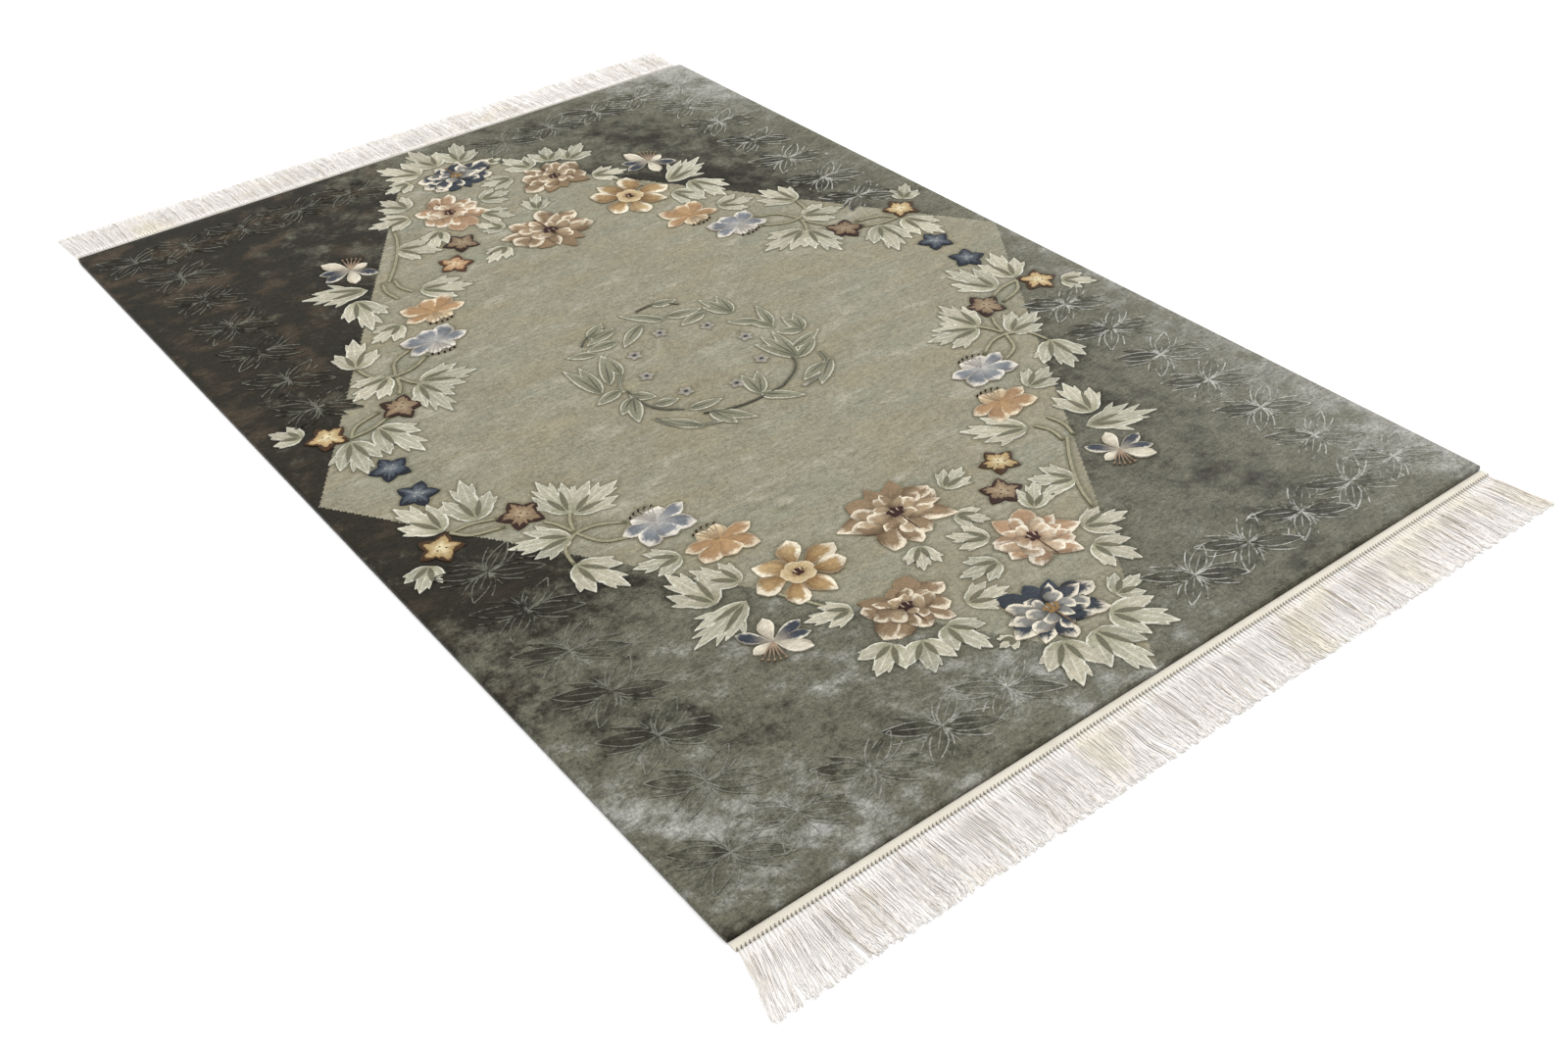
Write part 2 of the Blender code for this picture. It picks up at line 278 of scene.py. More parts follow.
def silk(graph, colour, place, clouding, grain):
    """Finishes a colour as cut silk pile."""
    clouds = graph.noise(place, 9.0, (1.0, 1.3, 1.0), 4.0, 0.62) - 0.5
    patches = graph.noise(place, 34.0, (1.0, 1.2, 1.0), 3.0, 0.6) - 0.5
    streaks = graph.noise(place, 170.0, (0.18, 1.6, 1.0), 3.0, 0.7) - 0.5
    coarse = graph.noise(place, 150.0, (0.8, 1.3, 1.0), 3.0, 0.7) - 0.5
    tufts = graph.noise(place, 420.0, (1.0, 1.0, 1.0), 2.0, 0.7) - 0.5
    # Painted sheen and uneven dye: the clouds and patches make the colour lighter and darker
    light = 1.0 + clouds * (2.2 * clouding) + patches * (1.8 * clouding)
    light = light + (streaks * 0.55 + coarse + tufts * 1.2) * grain
    light = light.maths("MAXIMUM", 0.25)
    grey = graph.add("ShaderNodeCombineColor", None, light, light, light)
    shaded = graph.mix(colour, grey, 1.0, "MULTIPLY")
    height = streaks * 0.5 + tufts + coarse * 0.8 + patches * 0.8
    bump = graph.add("ShaderNodeBump", None, Strength=0.55, Distance=NAP_HEIGHT, Height=height)
    shader = graph.finish(shaded, 0.50 + patches * 0.25, bump, SILK_SHEEN)
    shader.inputs["Specular IOR Level"].default_value = SILK_GLOSS
    shader.inputs["Sheen Roughness"].default_value = SHEEN_ROUGHNESS


def new_material(name):
    """An empty material and the graph that fills it."""
    material = bpy.data.materials.new(name)
    material.use_nodes = True
    return material, Graph(material.node_tree)


def here(graph):
    """The place on the piece, in metres."""
    return graph.add("ShaderNodeTexCoord").out("Object")


def marked(graph, name):
    """A number that the mesh carries at each point."""
    return graph.add("ShaderNodeAttribute", {"attribute_name": name}).out("Fac")

# %% [markdown]
# The ground has two dyes: a dark sage grey field and a pale sage lozenge whose points touch the
# middle of each side. The edge between them climbs in single knots, so the place is rounded to
# whole knots before it is compared with the lozenge. The field has painted sheen: its colour is
# lighter towards the near right corner, where its nap leans to the light, and painted darker at
# the left, with browner patches at the far left.

# %% Ground material
# The field's dark, middle and light colours, mixed by its painted shade and sheen
FIELD_DARK = dye(35, 32, 23)
FIELD_MIDDLE = dye(92, 91, 77)
FIELD_LIGHT = dye(152, 151, 145)
FIELD_SHADE_BROWN = dye(74, 62, 48)
LOZENGE_WARM = dye(131, 124, 103)
LOZENGE_COOL = dye(127, 126, 110)
LOZENGE_PALE = dye(150, 146, 131)
LOZENGE_DEEP = dye(110, 107, 84)
GROOVE_SHADE = (0.60, 0.60, 0.54, 1.0)
FIELD_LEVEL = 0.34


def field_colour(graph, place, level):
    """The field's silk, cloudy, with painted sheen that makes it lighter towards the near right corner."""
    x, y, _ = graph.parts(place)
    clouds = graph.noise(place + graph.vector(3.1, 1.7, 0.0), 7.0, (1.0, 1.2, 1.0), 5.0, 0.62) - 0.5
    blots = graph.noise(place, 28.0, (1.0, 1.0, 1.0), 4.0, 0.7) - 0.5
    # Painted sheen from the lean of the nap: darker at the left, and lighter at the right, near end and far
    # end
    left = x.maths("MINIMUM", 0.0) * 0.66
    right = (x - 0.36).maths("MAXIMUM", 0.0) * 2.5 - x.maths("MAXIMUM", 0.0) * 0.56
    end = (-y).between(0.25, 0.55) * (0.36 - x).maths("MAXIMUM", 0.0) * 0.42
    far = (y - 0.5).maths("MAXIMUM", 0.0) * (x + 0.5).maths("MAXIMUM", 0.0) * 1.5
    tone = left + right + end + far - y * 0.25 + level
    # Painted sheen and uneven dye: cloudy patches, stronger at the left
    tone = tone + clouds * (1.2 - x * 0.7) + blots * (1.35 - x * 0.6)
    colour = graph.mix(FIELD_DARK, FIELD_MIDDLE, tone.between(0.0, 0.5))
    colour = graph.mix(colour, FIELD_LIGHT, tone.between(0.5, 1.1))
    # Painted shade: browner patches towards the far left, where the nap leans away from the light
    brown_shade_patches = graph.noise(place, 14.0, (1.0, 1.5, 1.0), 3.0, 0.6).between(0.50, 0.68)
    return graph.mix(colour, FIELD_SHADE_BROWN, brown_shade_patches * (y * 0.4 - x * 0.7).between(0.0, 0.7) * 0.7)


def ground_silk():
    """The field, the lozenge, and painted shade down in the carved grooves."""
    material, graph = new_material("ground_silk")
    place = here(graph)
    x, y, _ = graph.parts(place)
    knot_x = (x / PILE_ROW).floor() * PILE_ROW
    knot_y = (y / PILE_ROW).floor() * PILE_ROW
    reach = abs(knot_x) / (WIDTH / 2) + abs(knot_y) / (LENGTH / 2)
    outside = reach.maths("GREATER_THAN", 0.995)
    warm = graph.noise(place, 8.0, (0.6, 1.8, 1.0), 4.0, 0.6).between(0.3, 0.7)
    pale = graph.noise(place, 19.0, (0.6, 1.6, 1.0), 5.0, 0.68).between(0.50, 0.74)
    deep = graph.noise(place, 33.0, (0.6, 1.8, 1.0), 5.0, 0.68).between(0.54, 0.78)
    lozenge = graph.mix(LOZENGE_WARM, LOZENGE_COOL, warm)
    lozenge = graph.mix(lozenge, LOZENGE_PALE, pale)
    lozenge = graph.mix(lozenge, LOZENGE_DEEP, deep * 0.85)
    colour = graph.mix(lozenge, field_colour(graph, place, FIELD_LEVEL), outside)
    carved = marked(graph, "carved")
    # Painted shade: the silk is darker where the ground is cut deeper
    colour = graph.mix(colour, GROOVE_SHADE, carved.between(0.25, 1.0) * 0.7, "MULTIPLY")
    silk(graph, colour, place, 0.14, outside * 0.5 + 1.0)
    return material

# %% [markdown]
# Petals and leaves are dyed along their length: dark where they tuck in, then a clear body. A
# petal that curls over shows its cream underside along one side and at its tip, and lies in
# shadow along the other. Each carved shape carries its UV map, u across and v from stalk to
# tip. Three numbers say more: "tone" picks one of two body dyes, "curl" is the side that curls
# over, and "shade" is 1 on the small dark parts, such as stamens.

# %% Petal material
UNDER_SHADOW = (0.46, 0.42, 0.38, 1.0)


def petal_silk(name, base, body, second, tip, heart, tip_from, rim):
    """Silk for petals or leaves, from their stalk to their tip."""
    material, graph = new_material(name)
    place = here(graph)
    u, along, _ = graph.parts(graph.add("ShaderNodeUVMap", {"uv_map": "UVMap"}))
    across = (u - 0.5) * 2.0
    tone = marked(graph, "tone")
    curl = marked(graph, "curl")
    wander = graph.noise(place, 260.0, (1.0, 1.0, 1.0), 2.0, 0.6) - 0.5
    lines = graph.vector(across * 4.0 + tone * 60.0, along * 1.3, 0.0)
    fibres = graph.noise(lines, 1.0, (1.0, 1.0, 1.0), 2.0, 0.6) - 0.5
    at = along + wander * 0.20 + fibres * 0.30
    colour = graph.mix(dye(*body), dye(*second), tone.between(0.35, 0.65))
    colour = graph.mix(dye(*base), colour, at.between(0.02, 0.62))
    turned = across * curl
    pale = (turned + wander * 0.6).between(0.38, 0.76) * at.between(0.20, 0.55)
    pale = pale.maths("MAXIMUM", at.between(tip_from, tip_from + 0.22) * abs(curl))
    # The line along the edge takes the tip colour, as strongly as rim says. On leaves and the wreath it is
    # pale: painted highlight where the cut side of the pile catches the light. On stars and vines it is
    # their dark dyed edge.
    edge = (abs(across) + wander * 0.3).between(0.66, 0.94)
    edge = edge.maths("MAXIMUM", along.between(0.86, 0.98))
    pale = pale.maths("MAXIMUM", edge * rim)
    if name == "leaf":
        rib = (1.0 - abs(across).between(0.04, 0.16)) * at.between(0.30, 0.50)
        pale = pale.maths("MAXIMUM", rib * 0.5)
    colour = graph.mix(colour, dye(*tip), pale)
    tucked = (-turned).between(0.10, 1.0) * 0.85
    colour = graph.mix(colour, UNDER_SHADOW, tucked, "MULTIPLY")
    light = 0.86 + (tone * 17.0).maths("FRACT") * 0.26 + fibres * 0.35
    grey = graph.add("ShaderNodeCombineColor", None, light, light, light)
    colour = graph.mix(colour, grey, 1.0, "MULTIPLY")
    colour = graph.mix(colour, dye(*heart), marked(graph, "shade"))
    silk(graph, colour, place, 0.12, 0.8)
    return material

# %% Dyes of the flowers and leaves
Dyes = namedtuple("Dyes", "base body second tip heart tip_from rim")
DYES = {
    "navy_peony": Dyes(
        (22, 26, 33), (46, 52, 60), (122, 121, 116),
        (204, 196, 178), (122, 96, 58), 0.73, 0.0,
    ),
    "peach_peony": Dyes(
        (114, 84, 56), (148, 121, 94), (170, 151, 127),
        (206, 197, 179), (50, 24, 20), 0.75, 0.3,
    ),
    "fawn_peony": Dyes(
        (74, 58, 42), (124, 104, 80), (146, 127, 101),
        (202, 191, 170), (44, 20, 20), 0.78, 0.0,
    ),
    "gold_rose": Dyes(
        (104, 76, 44), (150, 124, 86), (172, 152, 116),
        (206, 197, 176), (50, 24, 18), 0.72, 0.3,
    ),
    "blue_lily": Dyes(
        (150, 148, 144), (104, 108, 113), (166, 162, 153),
        (206, 200, 188), (48, 38, 34), 0.70, 0.8,
    ),
    "peach_lily": Dyes(
        (150, 120, 84), (148, 118, 86), (168, 148, 118),
        (204, 192, 168), (62, 38, 24), 0.72, 0.6,
    ),
    "outer_lily": Dyes(
        (146, 138, 124), (188, 180, 162), (52, 57, 66),
        (206, 200, 184), (140, 118, 96), 0.84, 0.6,
    ),
    "gold_star": Dyes(
        (200, 189, 154), (162, 138, 96), (166, 142, 102),
        (62, 42, 24), (54, 36, 24), 0.78, 2.4,
    ),
    "amber_star": Dyes(
        (180, 158, 128), (148, 118, 86), (152, 122, 90),
        (66, 42, 28), (54, 36, 24), 0.78, 2.4,
    ),
    "brown_star": Dyes(
        (148, 131, 106), (116, 97, 75), (120, 101, 79),
        (46, 29, 22), (46, 30, 24), 0.78, 2.4,
    ),
    "navy_star": Dyes(
        (110, 114, 118), (58, 64, 72), (62, 68, 76),
        (28, 32, 40), (146, 142, 132), 0.78, 2.0,
    ),
    "leaf": Dyes(
        (134, 132, 109), (152, 150, 132), (164, 159, 140),
        (194, 192, 178), (84, 82, 62), 0.9, 1.0,
    ),
    "vine": Dyes(
        (136, 132, 108), (136, 132, 108), (140, 134, 111),
        (88, 85, 63), (70, 70, 52), 0.9, 1.2,
    ),
    "wreath": Dyes(
        (98, 98, 80), (114, 113, 95), (122, 120, 102),
        (172, 169, 154), (42, 41, 33), 0.9, 1.1,
    ),
    "bud": Dyes(
        (96, 94, 94), (136, 131, 120), (140, 135, 124),
        (156, 151, 140), (46, 46, 50), 0.9, 0.3,
    ),
}
SILKS = {name: petal_silk(name, *dyes) for name, dyes in DYES.items()}
print(len(SILKS), "dyes for the flowers and leaves")

# %% [markdown]
# The design is knotted twice, once for each half of the rug, turned half way round. So only
# the near half is listed. Rows with a pair also stand mirrored across the rug's long axis, and
# a flower's row gives its kind in the near half and in the far one.
# Hand knotting beats down unevenly, which moved the middle of this rug's design by 19 mm.

# %% The design: where everything grows
DRIFT = 0.019
DRIFT_FADES = (0.35, 0.75)
Flower = namedtuple("Flower", "near far x y half_width half_height petals turn pair")
FLOWERS = (
    Flower("navy_peony", "navy_peony", -0.020, -0.7675, 0.072, 0.051, 9, 90, False),
    Flower("peach_peony", "peach_peony", 0.060, -0.6510, 0.061, 0.058, 8, 70, False),
    Flower("fawn_peony", "fawn_peony", -0.150, -0.6515, 0.063, 0.047, 8, 90, False),
    Flower("fawn_peony", "fawn_peony", -0.037, -0.4910, 0.079, 0.061, 9, 90, False),
    Flower("gold_rose", "gold_rose", -0.2075, -0.5015, 0.064, 0.061, 7, 75, False),
    Flower("gold_star", "amber_star", 0.141, -0.4880, 0.029, 0.029, 5, 90, False),
    Flower("brown_star", "brown_star", 0.098, -0.5430, 0.030, 0.030, 5, 60, False),
    Flower("navy_star", "navy_star", -0.492, -0.0380, 0.029, 0.029, 5, 50, True),
    Flower("gold_star", "gold_star", -0.525, -0.1630, 0.031, 0.031, 5, -95, True),
    Flower("brown_star", "brown_star", -0.409, -0.1680, 0.032, 0.032, 5, 90, True),
    Flower("blue_lily", "blue_lily", -0.284, -0.3020, 0.050, 0.037, 6, 60, True),
    Flower("peach_lily", "peach_lily", -0.243, -0.3850, 0.050, 0.037, 6, 60, True),
    Flower("outer_lily", "outer_lily", -0.310, -0.5900, 0.049, 0.044, 6, 40, False),
    Flower("outer_lily", "outer_lily", 0.282, -0.5780, 0.049, 0.044, 6, 20, False),
)
Leaf = namedtuple("Leaf", "x y heading length width pair")
LEAVES = (
    Leaf(-0.504, -0.133, 104, 0.080, 0.050, True),
    Leaf(-0.459, -0.141, 74, 0.084, 0.052, True),
    Leaf(-0.360, -0.207, 86, 0.084, 0.042, True),
    Leaf(-0.356, -0.212, 16, 0.084, 0.046, True),
    Leaf(-0.384, -0.251, 163, 0.072, 0.046, True),
    Leaf(-0.412, -0.304, -68, 0.076, 0.052, True),
    Leaf(-0.553, -0.187, -134, 0.050, 0.040, True),
    Leaf(-0.300, -0.376, 163, 0.060, 0.040, True),
    Leaf(-0.320, -0.484, 101, 0.084, 0.050, True),
    Leaf(-0.290, -0.504, -160, 0.098, 0.040, True),
    Leaf(-0.272, -0.468, 118, 0.062, 0.040, False),
    Leaf(-0.202, -0.606, 163, 0.056, 0.038, False),
    Leaf(-0.206, -0.688, -142, 0.060, 0.048, False),
    Leaf(-0.176, -0.706, -116, 0.058, 0.048, False),
    Leaf(-0.138, -0.705, -72, 0.060, 0.050, False),
    Leaf(-0.090, -0.690, -8, 0.056, 0.038, False),
    Leaf(-0.090, -0.774, 178, 0.026, 0.022, False),
    Leaf(-0.052, -0.812, -117, 0.072, 0.054, False),
    Leaf(-0.012, -0.822, -86, 0.080, 0.056, False),
    Leaf(0.026, -0.812, -48, 0.074, 0.054, False),
    Leaf(0.058, -0.793, 10, 0.047, 0.038, False),
    Leaf(0.122, -0.672, -12, 0.064, 0.044, False),
    Leaf(0.106, -0.706, -66, 0.060, 0.046, False),
    Leaf(-0.006, -0.654, 174, 0.054, 0.040, False),
    Leaf(0.018, -0.610, 134, 0.054, 0.036, False),
    Leaf(0.104, -0.600, 46, 0.056, 0.036, False),
    Leaf(0.046, -0.486, 25, 0.052, 0.034, False),
    Leaf(0.018, -0.541, -56, 0.046, 0.034, False),
    Leaf(-0.060, -0.562, -120, 0.052, 0.034, False),
    Leaf(0.226, -0.452, 149, 0.082, 0.048, False),
    Leaf(0.190, -0.588, 139, 0.064, 0.046, False),
)
Vine = namedtuple("Vine", "path pair")
VINES = (
    Vine(((-0.500, -0.142), (-0.467, -0.144), (-0.436, -0.156)), True),
    Vine(((-0.500, -0.142), (-0.480, -0.165), (-0.438, -0.177)), True),
    Vine(((-0.394, -0.201), (-0.384, -0.218), (-0.376, -0.246)), True),
    Vine(((-0.358, -0.206), (-0.368, -0.222), (-0.376, -0.246)), True),
    Vine(((-0.376, -0.248), (-0.346, -0.251), (-0.312, -0.270)), True),
    Vine(((-0.376, -0.248), (-0.358, -0.285), (-0.322, -0.302)), True),
    Vine(((-0.376, -0.248), (-0.404, -0.268), (-0.412, -0.304)), True),
    Vine(((0.237, -0.455), (0.246, -0.480), (0.242, -0.508)), False),
    Vine(((0.266, -0.450), (0.270, -0.480), (0.262, -0.508)), False),
    Vine(((0.252, -0.505), (0.214, -0.552), (0.180, -0.607), (0.162, -0.655)), False),
    Vine(((-0.252, -0.520), (-0.232, -0.560), (-0.214, -0.600)), False),
)


def smooth_step(low, high, value):
    """0 below low, 1 above high, and an even S-curve between them."""
    share = np.clip((value - low) / (high - low), 0, 1)
    return share * share * (3 - 2 * share)


def knotted(points):
    """Where points of the drawn design lie on the knotted rug."""
    shift = DRIFT * (1 - smooth_step(*DRIFT_FADES, np.abs(points[:, 1])))
    return np.stack([points[:, 0], points[:, 1] - shift], axis=1)


def sides(row):
    """The flips that a row is knotted with: (flip of X, flip of Y, far half or not)."""
    flips = [(1, 1, False), (-1, -1, True)]
    if row.pair:
        flips += [(-1, 1, False), (1, -1, True)]
    return flips


# %% [markdown]
# Every carved shape is made by one function. It takes a sheet of points, u across and v
# along, crowns it a little, and closes it underneath, so that each petal is a small solid
# pressed into the ground. A Carving gathers such solids into one mesh, and also keeps the
# outline of each, because the ground is cut back along them.

# %% Carved solids
SUNK = 0.0022  # how far a petal's underside lies below the ground
LAYER = 0.00030
BURIED = 0.0003  # how far a rim lies below the ground, to leave no gap


class Carving:
    """Small closed reliefs, joined into one mesh."""

    def __init__(self):
        self.points, self.faces, self.uvs, self.rims = [], [], [], []
        self.marks = {"tone": [], "shade": [], "curl": []}

    def mark(self, count, **values):
        """Gives the last points their numbers."""
        for key, marks in self.marks.items():
            marks += [values.get(key, 0.0)] * count

    def add(self, sheet, flips=(1, 1), layer=0, crown=0.0009, drift=True, lift=0.0, **marks):
        """One relief from a sheet of (x, y) points, rows along it and columns across."""
        rows, columns = sheet.shape[:2]
        flat = sheet.reshape(-1, 2) * np.array(flips)
        flat = knotted(flat) if drift else flat
        v, u = np.meshgrid(np.linspace(0, 1, rows), np.linspace(0, 1, columns), indexing="ij")
        ends = np.minimum(1, 6 * np.minimum(v + 0.04, 1.04 - v)) ** 0.6
        dome = (1 - np.abs(2 * u - 1) ** 2.6) * ends
        side = 0.5 + marks.get("curl", 0.0) * (u - 0.5)
        height = GROUND - BURIED + layer * LAYER + crown * dome + lift * v**2 * side
        top = np.concatenate([flat, height.reshape(-1, 1)], axis=1)
        index = np.arange(rows * columns).reshape(rows, columns)
        rim = [*index[0, :-1], *index[:-1, -1], *index[-1, :0:-1], *index[:0:-1, 0]]
        low = top[rim].copy()
        low[:, 2] = GROUND - SUNK
        start = len(self.points)
        self.points += top.tolist() + low.tolist()
        around = [start + rows * columns + k for k in range(len(rim))]
        quads = np.stack([index[:-1, :-1], index[:-1, 1:], index[1:, 1:], index[1:, :-1]], axis=-1)
        self.faces += (quads.reshape(-1, 4) + start).tolist()
        for k in range(len(rim)):
            j = (k + 1) % len(rim)
            self.faces.append([start + int(rim[j]), start + int(rim[k]), around[k], around[j]])
        self.faces.append(around[::-1])
        uv = np.stack([u.ravel(), v.ravel()], axis=1)
        self.uvs += uv.tolist() + uv[rim].tolist()
        self.mark(rows * columns + len(rim), **marks)
        self.rims.append(flat[rim])

    def mesh_object(self, name, material):
        """The joined mesh, with its UV map and marks, facing outwards."""
        mesh = bpy.data.meshes.new(name)
        mesh.from_pydata(self.points, [], self.faces)
        mesh.materials.append(material)
        corners = np.zeros(len(mesh.loops), np.int64)
        mesh.loops.foreach_get("vertex_index", corners)
        layer = mesh.uv_layers.new(name="UVMap")
        layer.data.foreach_set("uv", np.array(self.uvs)[corners].ravel())
        for key, values in self.marks.items():
            mesh.attributes.new(key, "FLOAT", "POINT").data.foreach_set("value", values)
        face_outwards(mesh)
        smooth(mesh, 55)
        return new_object(name, mesh)

# %% [markdown]
# Three outlines do for every petal and leaf. A pointed one is widest before its middle and
# runs out to a tip, as on a leaf. A curled one is widest beyond its middle and ends in a round
# point, as on a peony. A broad one opens from a narrow claw to a wide, ruffled end.

# %% Petal outlines
POINTED, CURLED, BROAD = "pointed", "curled", "broad"


def petal_sheet(base, heading, length, width, outline=POINTED, bend=0.0, ruffle=0.0, rows=7, columns=5):
    """The (x, y) points of a petal that starts at base and runs along its heading."""
    t = np.linspace(0, 1, rows)[:, None] * np.ones((1, columns))
    s = np.ones((rows, 1)) * np.linspace(-1, 1, columns)[None, :]
    along = t * length
    if outline == POINTED:
        spread = np.maximum(np.sin(np.pi * t**0.80) ** 0.85, 0.05)
    elif outline == CURLED:
        spread = np.maximum(np.abs(np.sin(np.pi * t**1.55)) ** 0.70, 0.16 - 0.08 * t)
    else:
        spread = 0.22 + 0.78 * np.sin(np.pi / 2 * np.clip(t * 1.25, 0, 1)) - 0.22 * t**5
        tip_line = 1 - 0.20 * s**2 + ruffle * np.cos(2 * np.pi * s + heading)
        along = t * length * (1 + (tip_line - 1) * t**2)
    across = s * spread * width / 2 + bend * length * t**2
    turn = math.radians(heading)
    x = base[0] + along * math.cos(turn) - across * math.sin(turn)
    y = base[1] + along * math.sin(turn) + across * math.cos(turn)
    return np.stack([x, y], axis=-1)


def sliver(base, heading, length, width, rows, bend=0.0):
    """The points of a narrow pointed shape, such as a stamen, a rib or a tooth."""
    return petal_sheet(base, heading, length, width, POINTED, bend, 0.0, rows, 3)


def dot_sheet(base, length, width):
    """The points of a small dot."""
    return petal_sheet(base, 0, length, width, BROAD, 0.0, 0.0, 3, 3)


def on_ellipse(flower, angle, share):
    """A point at a share of the flower's radius, that radius, and the way it points."""
    turn = math.radians(angle)
    across, along = flower.half_width * math.cos(turn), flower.half_height * math.sin(turn)
    place = (flower.x + share * across, flower.y + share * along)
    return place, math.hypot(across, along), math.degrees(math.atan2(along, across))

# %% [markdown]
# A peony is three rings of curled petals, each laid over the one outside it, round a dark heart
# with pale stamens that sits a little high. No two petals have the same length, width or
# bend. The topmost petals show no cream, because they curl away. The random numbers come from
# one fixed seed, so that the rug is the same on every run.

# %% Peonies and roses
Ring = namedtuple("Ring", "fewer reach start broad layer low_tone high_tone")
RINGS = (
    Ring(0, 1.08, 0.16, 1.46, 0, 0.02, 0.40),
    Ring(2, 0.78, 0.10, 1.30, 2, 0.20, 0.70),
    Ring(5, 0.50, 0.04, 1.25, 4, 0.45, 0.98),
)


STAMEN_LENGTH = 0.011
STAMEN_WIDTH = 0.0024


def add_heart(carving, flower, flips, size):
    """A dark heart with two pale stamens."""
    for k in range(5):
        base, radius, heading = on_ellipse(flower, 90 + 72 * k, 0.0)
        sheet = sliver(base, heading, radius * size, radius * size * 0.9, 4)
        carving.add(sheet, flips, 7, 0.0004, shade=1.0)
    for side in (-1, 1):
        base = (flower.x + side * 0.0035, flower.y - 0.004)
        sheet = sliver(base, 90 - side * 8, STAMEN_LENGTH, STAMEN_WIDTH, 4)
        carving.add(sheet, flips, 9, 0.0003, tone=0.9, curl=1.0)


def add_peony(carving, flower, flips, random):
    """Rings of curled petals round a heart, and the dark parting below it."""
    high = flower._replace(y=flower.y + 0.10 * flower.half_height)
    for ring in RINGS:
        petals = flower.petals + 2 - ring.fewer
        for k in range(petals):
            turn = flower.turn + (k + 0.5 * (ring.layer > 0)) * 360 / petals + random.uniform(-7, 7)
            base, radius, heading = on_ellipse(high, turn, ring.start)
            long = radius * (ring.reach * random.uniform(0.80, 1.10) - ring.start)
            wide = 3.9 * radius * ring.reach / petals * ring.broad * random.uniform(0.85, 1.1)
            topmost = ring.layer == 0 and abs(turn % 360 - 90) < 48
            curl = 0.0 if topmost else random.choice((-1.0, 1.0))
            bend = 0.20 * curl + random.uniform(-0.08, 0.08)
            shape = POINTED if random.uniform(0, 1) < 0.25 else CURLED
            sheet = petal_sheet(base, heading, long, wide, shape, bend, 0.0, 8, 5)
            tone = random.uniform(ring.low_tone, ring.high_tone)
            carving.add(sheet, flips, ring.layer + k % 2, 0.0007, lift=0.0010, tone=tone, curl=curl)
    long = flower.half_height * 0.80
    parting = sliver((high.x, high.y), -90, long, 0.0026, 6, 0.03)
    carving.add(parting, flips, 6, 0.0003, shade=0.75)
    add_heart(carving, high, flips, 0.19)


def add_rose(carving, flower, flips, random):
    """One ring of broad petals round a plain cup."""
    for k in range(flower.petals):
        turn = flower.turn + k * 360 / flower.petals + random.uniform(-5, 5)
        base, radius, heading = on_ellipse(flower, turn, 0.20)
        curl = random.choice((-1.0, 1.0))
        wide = 4.7 * radius / flower.petals * random.uniform(0.84, 1.04)
        shape = POINTED if k % 3 == 1 else CURLED
        sheet = petal_sheet(base, heading, radius * random.uniform(0.78, 0.98), wide, shape, 0.14 * curl)
        tone = random.uniform(0.1, 0.6)
        carving.add(sheet, flips, k % 3, 0.0008, lift=0.0008, tone=tone, curl=curl)
    for k in range(5):
        base, radius, heading = on_ellipse(flower, 90 + 72 * k, 0.02)
        sheet = petal_sheet(base, heading, radius * 0.36, radius * 0.42, BROAD, 0.0, 0.04)
        carving.add(sheet, flips, 3 + k % 2, 0.0006, tone=0.8, curl=0.35)
    add_heart(carving, flower, flips, 0.13)

# %% [markdown]
# A lily is seen from the side: three large petals hang down, two reach out, three stand behind,
# and stamens with dark ends rise from the middle. The lilies outside the lozenge are open the
# other way: cream and navy petals by turns, with a tuft of stamens that trails down.

# %% Lilies
LilyPetal = namedtuple("LilyPetal", "angle length width tone layer")
SIDE_LILY = (
    LilyPetal(128, 0.78, 0.50, 0.80, 0),
    LilyPetal(58, 0.80, 0.50, 0.70, 0),
    LilyPetal(92, 0.72, 0.46, 0.60, 1),
    LilyPetal(172, 1.00, 0.50, 0.25, 1),
    LilyPetal(6, 1.04, 0.50, 0.10, 1),
    LilyPetal(-140, 1.04, 0.66, 0.15, 2),
    LilyPetal(-38, 1.04, 0.66, 0.25, 2),
    LilyPetal(-88, 0.96, 0.80, 0.40, 3),
)
OPEN_LILY = (
    LilyPetal(186, 0.66, 0.34, 0.10, 0),
    LilyPetal(12, 1.02, 0.42, 0.90, 0),
    LilyPetal(-18, 1.00, 0.38, 0.85, 1),
    LilyPetal(132, 1.04, 0.44, 0.90, 1),
    LilyPetal(78, 1.02, 0.46, 0.10, 2),
    LilyPetal(-60, 1.00, 0.50, 0.15, 3),
)


